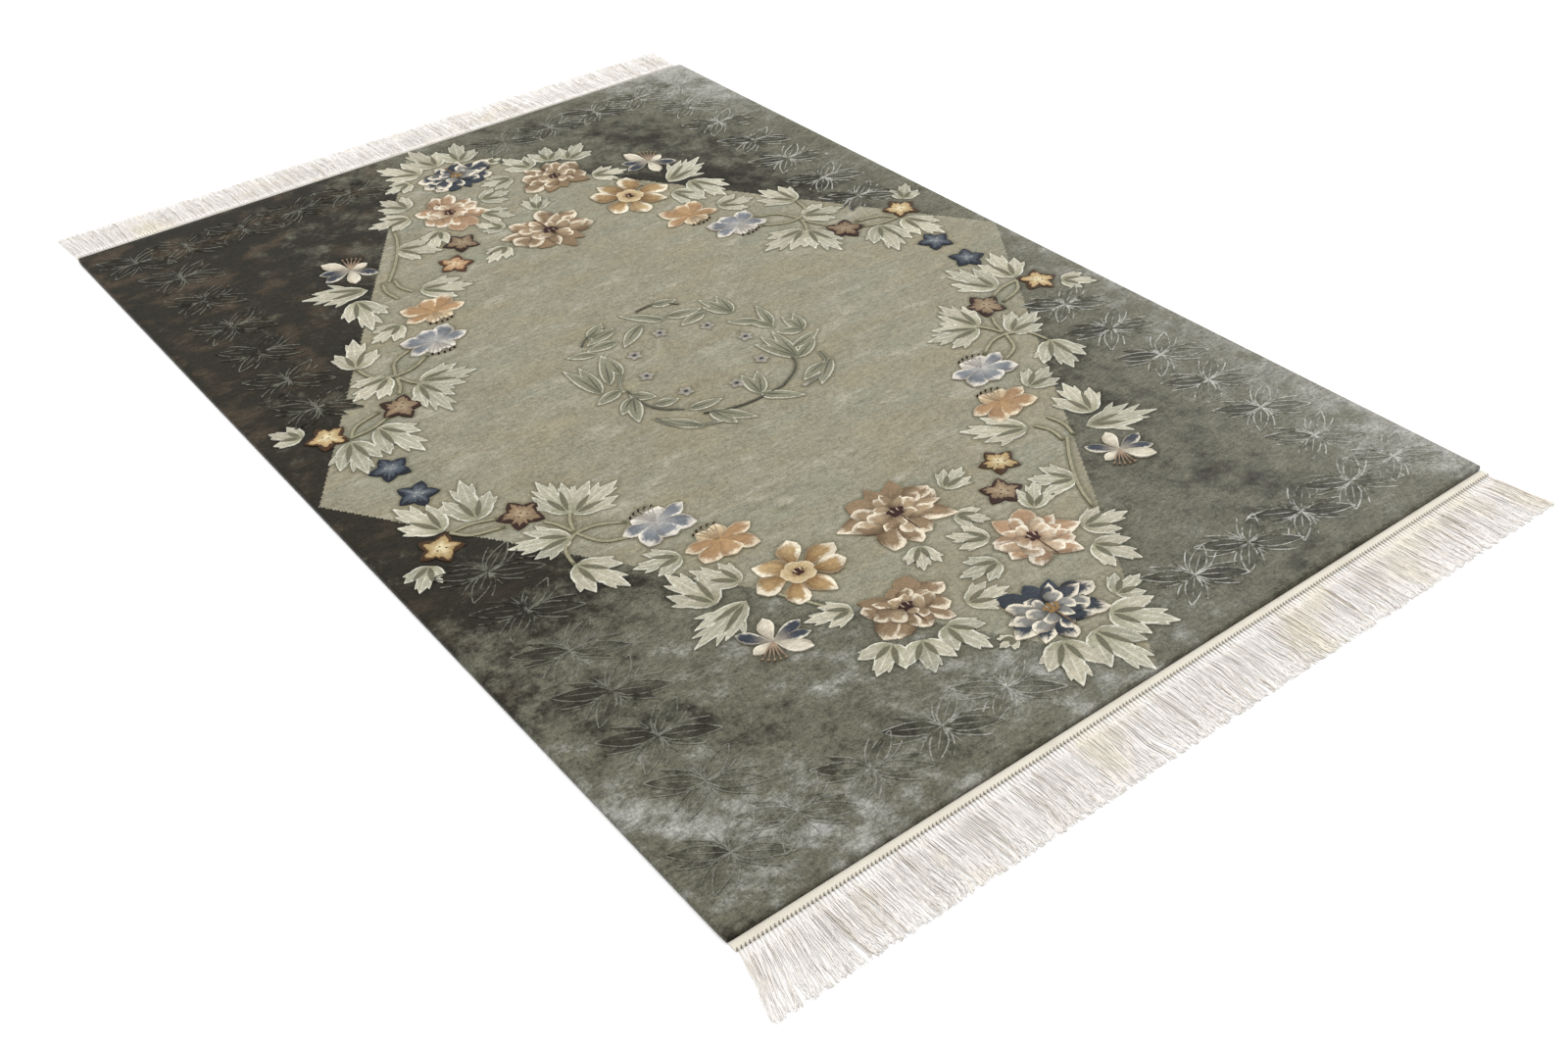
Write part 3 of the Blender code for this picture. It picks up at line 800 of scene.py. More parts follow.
def add_lily(carving, flower, flips, random):
    """Uneven petals and a tuft of stamens."""
    open_way = flower.near == "outer_lily"
    mirror = -1 if open_way and flower.turn > 90 else 1
    centre = (flower.x, flower.y + (0.0 if open_way else 0.18 * flower.half_height))
    for petal in OPEN_LILY if open_way else SIDE_LILY:
        angle = petal.angle if mirror == 1 else 180 - petal.angle
        turn = math.radians(angle)
        reach = math.hypot(flower.half_width * math.cos(turn), flower.half_height * math.sin(turn))
        long = reach * petal.length * (1.12 if -150 < petal.angle < -30 else 1.0)
        bend = random.uniform(-0.16, 0.16)
        wide = flower.half_width * petal.width
        sheet = petal_sheet(centre, angle, long, wide, CURLED, bend, 0.0, 7, 5)
        marks = {"tone": petal.tone, "curl": random.choice((-0.8, 0.8))}
        carving.add(sheet, flips, petal.layer, 0.0008, lift=0.0006, **marks)
    for k in range(5):
        angle = (-150 + 12 * k if open_way else 62 + 15 * k) * mirror + (180 if mirror < 0 else 0)
        long = flower.half_height * (0.80 if open_way else 0.95)
        sheet = sliver(centre, angle, long, STAMEN_WIDTH, 5, 0.08)
        carving.add(sheet, flips, 5, 0.0004, shade=0.8 if open_way else 0.3, tone=0.8)
        turn = math.radians(angle + 4)
        end = (centre[0] + long * math.cos(turn), centre[1] + long * math.sin(turn))
        dot = dot_sheet((end[0] - 0.0018, end[1]), 0.0036, 0.0034)
        carving.add(dot, flips, 6, 0.0003, shade=1.0)

# %% [markdown]
# A star is a bloom with five rounded points. Its mesh is polar: u and v both run from the heart
# to the rim, so the petal dye gives it the dark edge that it has on the rug. A small shift
# from spoke to spoke makes the fine rays.

# %% Stars
STAR_STEPS = 40
STAR_RINGS = (0.06, 0.35, 0.60, 0.78, 0.90, 1.00)


def add_star(carving, flower, flips, random):
    """A rounded star with three small dots."""
    angles = np.linspace(0, 2 * math.pi, STAR_STEPS, endpoint=False)
    lobe = np.abs((angles * flower.petals / math.pi + 1) % 2 - 1)  # 0 at a tip, 1 between two
    reach = 1.06 - 0.42 * lobe**0.9
    turn = angles + math.radians(flower.turn)
    ring = np.stack([np.cos(turn), np.sin(turn)], axis=1) * reach[:, None] * flower.half_width
    centre = np.array([flower.x, flower.y])
    start = len(carving.points)
    for share in STAR_RINGS:
        flat = knotted((centre + ring * share) * np.array(flips))
        height = GROUND - BURIED + 0.0012 * (1 - share**3)
        carving.points += [(x, y, height) for x, y in flat]
    carving.points += [(x, y, GROUND - SUNK) for x, y in flat]
    carving.rims.append(flat)
    levels = len(STAR_RINGS) + 1
    for level in range(levels - 1):
        for k in range(STAR_STEPS):
            j = (k + 1) % STAR_STEPS
            a, b = start + level * STAR_STEPS, start + (level + 1) * STAR_STEPS
            carving.faces.append([a + k, a + j, b + j, b + k])
    carving.faces.append([start + k for k in range(STAR_STEPS)][::-1])
    carving.faces.append([start + (levels - 1) * STAR_STEPS + k for k in range(STAR_STEPS)])
    rays = random.normal(0, 0.10, STAR_STEPS)
    for share in (*STAR_RINGS, 1.0):
        shifted = share + rays * (share > 0.2) * (share < 0.95)
        carving.uvs += [(0.5 + value / 2, value) for value in shifted.tolist()]
    carving.mark(len(carving.points) - start, tone=random.uniform(0.35, 0.75))
    for dx, dy in ((0, 0.002), (-0.006, -0.004), (0.006, -0.005)):
        corner = (flower.x + dx - 0.0016, flower.y + dy)
        sheet = dot_sheet(corner, 0.0034, 0.0030)
        carving.add(sheet, flips, 4, 0.0003, shade=1.0)

# %% Grow the flowers
GROWERS = {"peony": add_peony, "rose": add_rose, "lily": add_lily, "star": add_star}
flower_random = np.random.default_rng(SEED)
carvings = {}
for flower in FLOWERS:
    for flip_x, flip_y, far in sides(flower):
        kind = flower.far if far else flower.near
        carving = carvings.setdefault(kind, Carving())
        GROWERS[kind.split("_")[-1]](carving, flower, (flip_x, flip_y), flower_random)
print("flowers:", {kind: len(carving.faces) for kind, carving in carvings.items()})

# %% [markdown]
# A leaf has three pointed lobes on one stalk, each with a tooth on either side. Between the
# lobes lie narrow wedges of dark green, which give the leaf its folds. A vine is a thin raised
# line that follows a curve, with a dark edge carved on each side.

# %% Leaves and vines
Lobe = namedtuple("Lobe", "turn length width layer")
LOBES = (Lobe(37, 0.80, 0.52, 0), Lobe(-37, 0.80, 0.52, 0), Lobe(0, 1.06, 0.54, 1))
TEETH = ((20, 0.50, 0.36), (-20, 0.46, 0.42))  # turn, length, where it leaves its lobe
FOLDS = ((19, 0.56), (-19, 0.56))
VINE_WIDTH = 0.0056
VINE_STEPS = 9


def add_leaf(carving, leaf, flips, random):
    """Three toothed lobes and the dark folds between them."""
    swing = random.uniform(-4, 4)
    open_out = 1.45 * leaf.width / leaf.length
    tone = random.uniform(0.2, 0.8)
    for lobe in LOBES:
        heading = leaf.heading + lobe.turn * open_out + swing
        bend = -0.10 * np.sign(lobe.turn) + random.uniform(-0.05, 0.05)
        long = leaf.length * lobe.length * random.uniform(0.94, 1.10)
        wide = leaf.width * lobe.width
        mark = tone + random.uniform(-0.08, 0.08)
        ahead = np.array([math.cos(math.radians(heading)), math.sin(math.radians(heading))])
        for turn, share, along in TEETH:
            base = np.array([leaf.x, leaf.y]) + ahead * long * along
            sheet = sliver(base, heading + turn, long * share, wide * 0.5, 6)
            carving.add(sheet, flips, lobe.layer, 0.0004, lift=0.0002, tone=mark)
        sheet = petal_sheet((leaf.x, leaf.y), heading, long, wide, POINTED, bend)
        carving.add(sheet, flips, lobe.layer, 0.0007, lift=0.0004, tone=mark)
    for turn, length in FOLDS:
        heading = math.radians(leaf.heading + turn * open_out)
        start = 0.08 * leaf.length
        base = (leaf.x + start * math.cos(heading), leaf.y + start * math.sin(heading))
        long = leaf.length * length * random.uniform(0.8, 1.1)
        sheet = sliver(base, leaf.heading + turn * open_out, long, 0.0085, 5)
        carving.add(sheet, flips, 4, 0.0003, shade=0.85)


def curve_points(path, steps):
    """Points along a smooth curve through a short path."""
    knots = np.array(path, float)
    knots = np.concatenate([[2 * knots[0] - knots[1]], knots, [2 * knots[-1] - knots[-2]]])
    found = []
    for share in np.linspace(0, len(path) - 1 - 1e-9, steps):
        k, t = int(share), share % 1
        a, b, c, d = knots[k : k + 4]
        cubic = (3 * b - a - 3 * c + d) * t**3
        found.append(0.5 * (2 * b + (c - a) * t + (2 * a - 5 * b + 4 * c - d) * t**2 + cubic))
    return np.array(found)


def add_line(carving, line, width, flips=(1, 1), **settings):
    """A raised line along points."""
    ahead = np.gradient(line, axis=0)
    ahead /= np.linalg.norm(ahead, axis=1, keepdims=True)
    left = np.stack([-ahead[:, 1], ahead[:, 0]], axis=1)
    spread = np.linspace(-0.5, 0.5, 3)
    sheet = line[:, None, :] + left[:, None, :] * (spread * width)[None, :, None]
    carving.add(sheet, flips, crown=0.0006, **settings)


leaf_random = np.random.default_rng(SEED + 1)
carvings["leaf"] = Carving()
carvings["vine"] = Carving()
for leaf in LEAVES:
    for flip_x, flip_y, _ in sides(leaf):
        add_leaf(carvings["leaf"], leaf, (flip_x, flip_y), leaf_random)
for vine in VINES:
    line = curve_points(vine.path, VINE_STEPS)
    for flip_x, flip_y, _ in sides(vine):
        add_line(carvings["vine"], line, VINE_WIDTH, (flip_x, flip_y), tone=0.5)
print("leaves:", len(carvings["leaf"].faces), "faces, vines:", len(carvings["vine"].faces))

# %% [markdown]
# Geometry Nodes set out what repeats. A tree is a node group with named inputs, and the
# helpers below make one, hang it on an object, fill its inputs by their identifiers, and turn
# the evaluated result into a plain mesh.


# %% Geometry Nodes helpers
def new_tree(name, **inputs):
    """A geometry tree, its graph and a wire for each named input."""
    tree = bpy.data.node_groups.new(name, "GeometryNodeTree")
    tree.interface.new_socket("Geometry", in_out="INPUT", socket_type="NodeSocketGeometry")
    for label, kind in inputs.items():
        tree.interface.new_socket(label, in_out="INPUT", socket_type="NodeSocket" + kind)
    tree.interface.new_socket("Geometry", in_out="OUTPUT", socket_type="NodeSocketGeometry")
    graph = Graph(tree)
    entry = graph.add("NodeGroupInput")
    return tree, graph, {label: entry.out(label) for label in ("Geometry", *inputs)}


def end_tree(graph, geometry, material):
    """Realises the instances, sets the material and ends the tree."""
    real = graph.add("GeometryNodeRealizeInstances", None, geometry)
    done = graph.add("GeometryNodeSetMaterial", None, real, Material=material)
    exit_node = graph.tree.nodes.new("NodeGroupOutput")
    graph.tree.links.new(done.socket, exit_node.inputs[0])


def run_tree(name, tree, values, mesh=None):
    """The plain mesh object that a tree makes from its inputs."""
    carrier = new_object(name, mesh or bpy.data.meshes.new(name))
    modifier = carrier.modifiers.new("nodes", "NODES")
    modifier.node_group = tree
    for item in tree.interface.items_tree:
        if item.in_out == "INPUT" and item.name in values:
            modifier[item.identifier] = values[item.name]
    bpy.context.view_layer.update()
    evaluated = carrier.evaluated_get(bpy.context.evaluated_depsgraph_get())
    made = bpy.data.meshes.new_from_object(evaluated)
    carrier.modifiers.remove(modifier)
    carrier.data = made
    made.name = name
    return carrier


def set_out(graph, points, thing, heading, size):
    """Puts a thing on every point, turned by a heading and sized."""
    facing = graph.add("FunctionNodeEulerToRotation", None, graph.vector(0.0, 0.0, heading))
    shape = graph.add("GeometryNodeObjectInfo", None, thing).out("Geometry")
    settings = {"Instance": shape, "Rotation": facing, "Scale": size}
    return graph.add("GeometryNodeInstanceOnPoints", None, points, **settings)


def by_chance(graph, number, seed):
    """A number from -1 to 1 for each point."""
    return graph.add("FunctionNodeRandomValue", None, -1.0, 1.0, ID=number, Seed=seed)


# %% [markdown]
# The wreath in the middle is carved in nearly the ground's own colour: willow leaves that
# spring from a round twig, and eight buds inside it. Its leaves are listed from stalk to tip.
# One leaf of unit length is modelled, and a tree sets it on each stalk, turned and stretched
# to reach its tip.

# %% Wreath
WreathLeaf = namedtuple("WreathLeaf", "x y tip_x tip_y")
WREATH_LEAVES = (
    WreathLeaf(-0.104, 0.131, -0.063, 0.152),
    WreathLeaf(-0.104, 0.131, -0.060, 0.127),
    WreathLeaf(-0.076, 0.095, -0.126, 0.104),
    WreathLeaf(-0.120, 0.085, -0.157, 0.107),
    WreathLeaf(-0.022, 0.112, -0.079, 0.078),
    WreathLeaf(0.013, 0.102, -0.010, 0.132),
    WreathLeaf(0.013, 0.102, -0.030, 0.159),
    WreathLeaf(0.024, 0.151, 0.062, 0.137),
    WreathLeaf(0.021, 0.107, 0.075, 0.088),
    WreathLeaf(0.074, 0.080, 0.024, 0.075),
    WreathLeaf(0.107, 0.052, 0.084, 0.095),
    WreathLeaf(0.107, 0.052, 0.092, 0.117),
    WreathLeaf(0.107, 0.052, 0.120, 0.108),
    WreathLeaf(0.130, -0.019, 0.149, 0.042),
    WreathLeaf(0.128, -0.026, 0.112, 0.020),
    WreathLeaf(0.156, -0.060, 0.178, -0.014),
    WreathLeaf(0.156, -0.060, 0.158, -0.010),
    WreathLeaf(0.102, -0.118, 0.079, -0.047),
    WreathLeaf(0.102, -0.118, 0.099, -0.035),
    WreathLeaf(0.102, -0.118, 0.121, -0.035),
    WreathLeaf(0.102, -0.118, 0.158, -0.092),
    WreathLeaf(0.121, -0.154, 0.069, -0.168),
    WreathLeaf(0.002, -0.160, 0.013, -0.104),
    WreathLeaf(0.002, -0.160, 0.037, -0.111),
    WreathLeaf(0.002, -0.160, 0.024, -0.190),
    WreathLeaf(0.002, -0.160, 0.045, -0.207),
    WreathLeaf(-0.079, -0.148, -0.072, -0.199),
    WreathLeaf(-0.079, -0.148, -0.041, -0.207),
    WreathLeaf(-0.100, -0.126, -0.048, -0.138),
    WreathLeaf(-0.130, -0.085, -0.096, -0.098),
    WreathLeaf(-0.143, -0.040, -0.120, -0.072),
    WreathLeaf(-0.143, -0.050, -0.182, -0.074),
    WreathLeaf(-0.143, -0.050, -0.176, -0.106),
    WreathLeaf(-0.146, -0.022, -0.193, -0.029),
    WreathLeaf(-0.172, -0.012, -0.178, 0.076),
    WreathLeaf(-0.172, -0.012, -0.156, 0.067),
    WreathLeaf(-0.150, 0.000, -0.112, 0.076),
    WreathLeaf(-0.122, 0.012, -0.110, 0.071),
    WreathLeaf(-0.108, -0.176, -0.146, -0.118),
    WreathLeaf(0.137, -0.150, 0.080, -0.194),
    WreathLeaf(0.112, -0.092, 0.176, -0.078),
    WreathLeaf(0.122, 0.002, 0.086, 0.036),
    WreathLeaf(-0.060, 0.127, -0.118, 0.118),
    WreathLeaf(0.156, -0.060, 0.124, -0.036),
)
Twig = namedtuple("Twig", "path width shade")
TWIGS = (
    Twig(((-0.090, -0.148), (-0.050, -0.164), (-0.010, -0.168), (0.040, -0.163)), 0.0034, 0.85),
    Twig(((0.040, -0.163), (0.078, -0.141), (0.096, -0.113), (0.084, -0.082)), 0.0030, 0.75),
    Twig(((-0.140, -0.029), (-0.140, -0.072), (-0.129, -0.100), (-0.104, -0.121)), 0.0028, 0.7),
    Twig(((-0.124, 0.118), (-0.104, 0.135), (-0.068, 0.142)), 0.0026, 0.7),
    Twig(((-0.005, 0.151), (0.024, 0.153), (0.040, 0.146), (0.059, 0.127)), 0.0030, 0.8),
    Twig(((0.021, 0.107), (0.040, 0.107), (0.056, 0.096)), 0.0026, 0.6),
    Twig(((-0.149, -0.116), (-0.138, -0.146), (-0.116, -0.166), (-0.078, -0.182)), 0.0060, 0.35),
    Twig(((0.136, -0.126), (0.128, -0.152), (0.100, -0.176), (0.060, -0.184)), 0.0060, 0.35),
    Twig(((-0.125, 0.010), (-0.140, -0.010), (-0.146, -0.030)), 0.0036, 0.2),
)
BUDS = (
    (-0.013, 0.074),
    (-0.078, 0.045),
    (0.054, 0.045),
    (-0.096, -0.014),
    (0.079, -0.019),
    (-0.076, -0.085),
    (0.059, -0.085),
    (-0.008, -0.115),
)
WREATH_BREADTH = 0.30
WREATH_STRETCH = 0.072  # how far a leaf of unit length is stretched across
WREATH_SEED = 4


def wreath_leaf():
    """One willow leaf of unit length along +X, with its dark midrib."""
    carving = Carving()
    blade = petal_sheet((0, 0), 0, 1.0, WREATH_BREADTH, POINTED, 0.06, 0.0, 8, 5)
    carving.add(blade, drift=False, layer=1, crown=0.0009, tone=0.4)
    midrib = sliver((0.05, 0.0), 0, 0.70, 0.045, 6, 0.04)
    carving.add(midrib, drift=False, layer=4, crown=0.0003, shade=0.55)
    return carving.mesh_object("wreath_leaf", None)


def wreath_tree():
    """The leaf on every point, turned and stretched by the numbers that the point carries."""
    tree, graph, given = new_tree("wreath", Leaf="Object", Breadth="Float", Seed="Int", Silk="Material")

    def carried(name):
        return graph.add("GeometryNodeInputNamedAttribute", {"data_type": "FLOAT"}, name)

    number = graph.add("GeometryNodeInputIndex")
    chance = by_chance(graph, number, given["Seed"])
    broad = given["Breadth"] * (1.0 + chance * 0.12)
    size = graph.vector(carried("long"), broad, 1.0 + chance * 0.012)
    leaves = set_out(graph, given["Geometry"], given["Leaf"], carried("heading"), size)
    end_tree(graph, leaves, given["Silk"])
    return tree


def make_wreath():
    """The leaves of the wreath as one mesh."""
    stalks = np.array([(leaf.x, leaf.y) for leaf in WREATH_LEAVES])
    tips = np.array([(leaf.tip_x, leaf.tip_y) for leaf in WREATH_LEAVES])
    ahead = tips - stalks
    points = bpy.data.meshes.new("wreath_points")
    points.from_pydata([(x, y, 0) for x, y in stalks], [], [])
    heading = np.arctan2(ahead[:, 1], ahead[:, 0])
    long = np.linalg.norm(ahead, axis=1)
    for name, values in (("heading", heading), ("long", long)):
        points.attributes.new(name, "FLOAT", "POINT").data.foreach_set("value", values)
    leaf = wreath_leaf()
    values = {"Leaf": leaf, "Breadth": WREATH_STRETCH, "Seed": WREATH_SEED, "Silk": SILKS["wreath"]}
    leaves = run_tree("wreath_leaves", wreath_tree(), values, points)
    bpy.data.objects.remove(leaf)
    return leaves


wreath_leaves = make_wreath()
twig_carving, bud_carving = Carving(), Carving()
for twig in TWIGS:
    line = curve_points(twig.path, VINE_STEPS)
    add_line(twig_carving, line, twig.width, layer=2, drift=False, shade=twig.shade, tone=0.5)
for number, centre in enumerate(BUDS):
    for k in range(5):
        heading = 72 * k + 20 * number
        sheet = sliver(centre, heading, 0.0125, 0.0090, 5)
        bud_carving.add(sheet, crown=0.0006, drift=False, tone=0.4 + 0.1 * (k % 2))
    sheet = dot_sheet((centre[0] - 0.003, centre[1]), 0.0060, 0.0052)
    bud_carving.add(sheet, layer=3, crown=0.0004, drift=False, shade=1.0)
print("wreath leaves:", len(wreath_leaves.data.polygons), "faces")

# %% [markdown]
# The border's blossoms are carved in the field's own colour, with painted shade on some
# petals. Only their pale cut outlines, a painted highlight where the cut catches the light, and
# the shadow beside them show. One blossom is modelled: four diagonal petals with three points
# each, thin raised outlines, and a thin cross of stamens. A tree sets it along each side and end.

# %% Border blossoms
BLOSSOM_STROKES = (
    (92, 0.8), (268, 0.8), (8, 0.7), (176, 0.7),
    (250, 0.6), (108, 0.6), (70, 0.5), (290, 0.5),
)  # heading, length
SIDE_ROW_X = 0.5025
SIDE_ROW_Y = (-0.2455, -0.3405, -0.4410, -0.5365, -0.6370, -0.7310)
END_ROW_Y = -0.829
END_ROW_X = (0.5410, 0.4540, 0.3540, 0.2540, 0.1555)
BLOSSOM_HALF_WIDTH = 0.052
BLOSSOM_HALF_HEIGHT = 0.044
BLOSSOM_TILT = 0.10
BLOSSOM_SEED = 3
BlossomPetal = namedtuple("BlossomPetal", "heading length tone")
BLOSSOM_PETALS = (
    BlossomPetal(38, 0.94, 0.2),
    BlossomPetal(142, 1.04, 0.8),
    BlossomPetal(224, 0.92, 0.3),
    BlossomPetal(322, 1.06, 0.7),
)
# A petal's three points: turn, length, width
BLOSSOM_POINTS = ((0, 1.0, 0.34), (21, 0.84, 0.23), (-21, 0.84, 0.23))


def blossom_silk():
    """The field's silk with painted shade on some petals, and painted highlight on outlines that come and
    go.
    """
    material, graph = new_material("blossom_silk")
    place = here(graph)
    x, y, _ = graph.parts(place)
    # Painted shade: some petals take a darker copy of the field's silk
    dark = field_colour(graph, place, FIELD_LEVEL - 0.30)
    like = field_colour(graph, place, FIELD_LEVEL)
    body = graph.mix(like, dark, marked(graph, "tone"))
    # Painted highlight on the cut outlines, lighter towards the near right with the field's painted sheen
    lit = (x - y * 0.35 + 0.45).between(0.0, 0.95)
    pale = graph.mix(dye(102, 102, 92), dye(164, 164, 157), lit)
    wander = graph.noise(place, 60.0, (1.0, 1.0, 1.0), 2.0, 0.6).between(0.36, 0.58)
    colour = graph.mix(body, pale, marked(graph, "shade") * wander)
    silk(graph, colour, place, 0.14, 1.5)
    return material


def blossom_template():
    """Four petals of three points with raised outlines, and a thin cross."""
    carving = Carving()
    squash = np.array((1.0, BLOSSOM_HALF_HEIGHT / BLOSSOM_HALF_WIDTH))
    for petal in BLOSSOM_PETALS:
        long = BLOSSOM_HALF_WIDTH * 1.34 * petal.length
        for turn, length, width in BLOSSOM_POINTS:
            sheet = sliver((0, 0), petal.heading + turn, long * length, long * width, 6) * squash
            layer = 0 if turn else 1
            carving.add(sheet, drift=False, layer=layer, crown=0.0007, tone=petal.tone)
            for column in (0, -1):
                if turn * (column * 2 + 1) <= 0:
                    add_line(carving, sheet[:, column], 0.0019, drift=False, layer=3, shade=0.9)
        rib = sliver((0, 0), petal.heading, long * 0.8, 0.0018, 5)
        carving.add(rib * squash, drift=False, layer=4, crown=0.0002, shade=0.7)
    for heading, length in BLOSSOM_STROKES:
        line = sliver((0, 0), heading, BLOSSOM_HALF_WIDTH * length, 0.0018, 6, 0.03)
        carving.add(line * squash, drift=False, layer=3, crown=0.0002, shade=0.9)
    return carving.mesh_object("blossom", None)


def blossom_tree():
    """The blossom on every point, each turned and sized a little differently."""
    tree, graph, given = new_tree("rows", Blossom="Object", Tilt="Float", Seed="Int", Silk="Material")
    number = graph.add("GeometryNodeInputIndex")
    chance = by_chance(graph, number, given["Seed"])
    wide = 1.0 + chance * 0.04
    size = graph.vector(wide, wide, 1.0)
    rows = set_out(graph, given["Geometry"], given["Blossom"], chance * given["Tilt"], size)
    end_tree(graph, rows, given["Silk"])
    return tree


def blossom_places():
    """The middles of all blossoms, drifted with the design."""
    near = [(side * SIDE_ROW_X, y) for side in (-1, 1) for y in SIDE_ROW_Y]
    near += [(side * x, END_ROW_Y) for side in (-1, 1) for x in END_ROW_X]
    near = np.array(near)
    return knotted(np.concatenate([near, -near]))


def make_border():
    """All blossoms of the border as one mesh."""
    places = blossom_places()
    points = bpy.data.meshes.new("blossom_points")
    points.from_pydata([(x, y, 0) for x, y in places], [], [])
    blossom = blossom_template()
    values = {"Blossom": blossom, "Tilt": BLOSSOM_TILT, "Seed": BLOSSOM_SEED, "Silk": blossom_silk()}
    border = run_tree("border_blossoms", blossom_tree(), values, points)
    bpy.data.objects.remove(blossom)
    return border


border_blossoms = make_border()
print("border blossoms:", len(blossom_places()), "with", len(border_blossoms.data.polygons), "faces")

# %% [markdown]
# The ground is cut back with curved shears round every flower, leaf and vine, in a groove that
# slopes up over five millimetres. Only the border's blossoms lie on ground that isn't cut.
# Here the grooves are first drawn on a fine grid of depths: the outline of each petal is filled
# in, the filled area grows step by step while the cut gets shallower, and the depths are then
# smoothed.

# %% Map of the carving
CELL = 0.012
FINE = 4  # fine cells along a plain one
FLAT_X = WIDTH / 2 - EDGE
FLAT_Y = LENGTH / 2 - EDGE
PLAIN = (round(2 * FLAT_X / CELL), round(2 * FLAT_Y / CELL))
PIXELS = (PLAIN[0] * FINE * 2 + 1, PLAIN[1] * FINE * 2 + 1)
CUT_DEPTH = 0.0013
CUT_REACH = 3  # grid steps


def fill(mask, rim):
    """Marks the grid points inside one outline."""
    column = (rim[:, 0] + FLAT_X) / (2 * FLAT_X) * (PIXELS[0] - 1)
    row = (rim[:, 1] + FLAT_Y) / (2 * FLAT_Y) * (PIXELS[1] - 1)
    low_x, high_x = max(0, int(column.min())), min(PIXELS[0] - 1, int(column.max()) + 1)
    low_y, high_y = max(0, int(row.min())), min(PIXELS[1] - 1, int(row.max()) + 1)
    gx, gy = np.meshgrid(np.arange(low_x, high_x + 1), np.arange(low_y, high_y + 1), indexing="ij")
    found = np.zeros(gx.shape, bool)
    for k in range(len(rim)):
        x0, y0, x1, y1 = column[k - 1], row[k - 1], column[k], row[k]
        crosses = (y0 > gy) != (y1 > gy)
        rise = y1 - y0 if abs(y1 - y0) > 1e-9 else 1e-9
        found ^= crosses & (gx < x0 + (gy - y0) * (x1 - x0) / rise)
    mask[low_x : high_x + 1, low_y : high_y + 1] |= found


def grown(mask, diagonal):
    """The mask one grid step larger."""
    wider = mask.copy()
    for axis in (0, 1):
        for step in (-1, 1):
            wider |= np.roll(mask, step, axis)
            if diagonal:
                wider |= np.roll(np.roll(mask, step, axis), step, 1 - axis)
                wider |= np.roll(np.roll(mask, step, axis), -step, 1 - axis)
    return wider


def carving_map(rims):
    """How deep the ground is cut, as a share of the full depth, at each grid point."""
    mask = np.zeros(PIXELS, bool)
    for rim in rims:
        fill(mask, rim)
    mask = grown(mask, True)
    mask = grown(mask, False)
    depth = mask.astype(float)
    for step in range(1, CUT_REACH + 1):
        mask = grown(mask, step % 2 == 0)
        depth = np.maximum(depth, mask * (1 - step / (CUT_REACH + 1)) ** 1.5)
    for axis in (0, 1, 0, 1, 0, 1):
        depth = (np.roll(depth, 1, axis) + 2 * depth + np.roll(depth, -1, axis)) / 4
    return depth


wreath_rims = []
for polygon in wreath_leaves.data.polygons:
    if len(polygon.vertices) > 4:
        wreath_rims.append(np.array([wreath_leaves.data.vertices[v].co[:2] for v in polygon.vertices]))
all_rims = [rim for carving in carvings.values() for rim in carving.rims]
all_rims += twig_carving.rims + bud_carving.rims + wreath_rims
DEPTH = carving_map(all_rims)
print(f"{len(all_rims)} outlines cut into {DEPTH[DEPTH > 0.02].size / DEPTH.size:.0%} of the ground")

# %% [markdown]
# The ground itself is one closed mesh with cells of 12 mm. Only the cells that a groove
# crosses are split into finer ones, which keeps it light. A plain cell beside a fine one takes
# the fine one's corners into its own edge, so that the mesh has no gaps.

# %% Ground mesh
# Each level of the edge: how far inside the outline, and its height
LEVELS = (
    (0.0009, GROUND - 0.0009),
    (0.0, GROUND - EDGE),
    (0.0, 0.0012),
    (0.0010, 0.0),
)
WAVE = 0.0003
SPLIT_FROM = 0.10  # how much the cut must change in a cell to split it


def crossed(depth):
    """Which plain cells a groove crosses."""
    size = FINE * 2
    found = np.zeros(PLAIN, bool)
    for i in range(PLAIN[0]):
        block = depth[i * size : (i + 1) * size + 1]
        for j in range(PLAIN[1]):
            part = block[:, j * size : (j + 1) * size + 1]
            found[i, j] = part.max() - part.min() > SPLIT_FROM
    return found


def ground_faces(fine):
    """Faces over the lattice of fine points, plain cells taking in fine neighbours' corners."""
    rows = PLAIN[1] * FINE + 1

    def point(i, j):
        return i * rows + j

    def is_fine(i, j):
        return 0 <= i < PLAIN[0] and 0 <= j < PLAIN[1] and fine[i, j]

    faces = []
    for i in range(PLAIN[0]):
        for j in range(PLAIN[1]):
            x, y = i * FINE, j * FINE
            if fine[i, j]:
                for a in range(x, x + FINE):
                    for b in range(y, y + FINE):
                        faces.append((point(a, b), point(a + 1, b), point(a + 1, b + 1), point(a, b + 1)))
                continue
            walk = (
                (x, y, 1, 0, is_fine(i, j - 1)),
                (x + FINE, y, 0, 1, is_fine(i + 1, j)),
                (x + FINE, y + FINE, -1, 0, is_fine(i, j + 1)),
                (x, y + FINE, 0, -1, is_fine(i - 1, j)),
            )
            face = []
            for a, b, right, up, split in walk:
                steps = range(FINE) if split else range(1)
                face += [point(a + right * k, b + up * k) for k in steps]
            faces.append(tuple(face))
    return faces


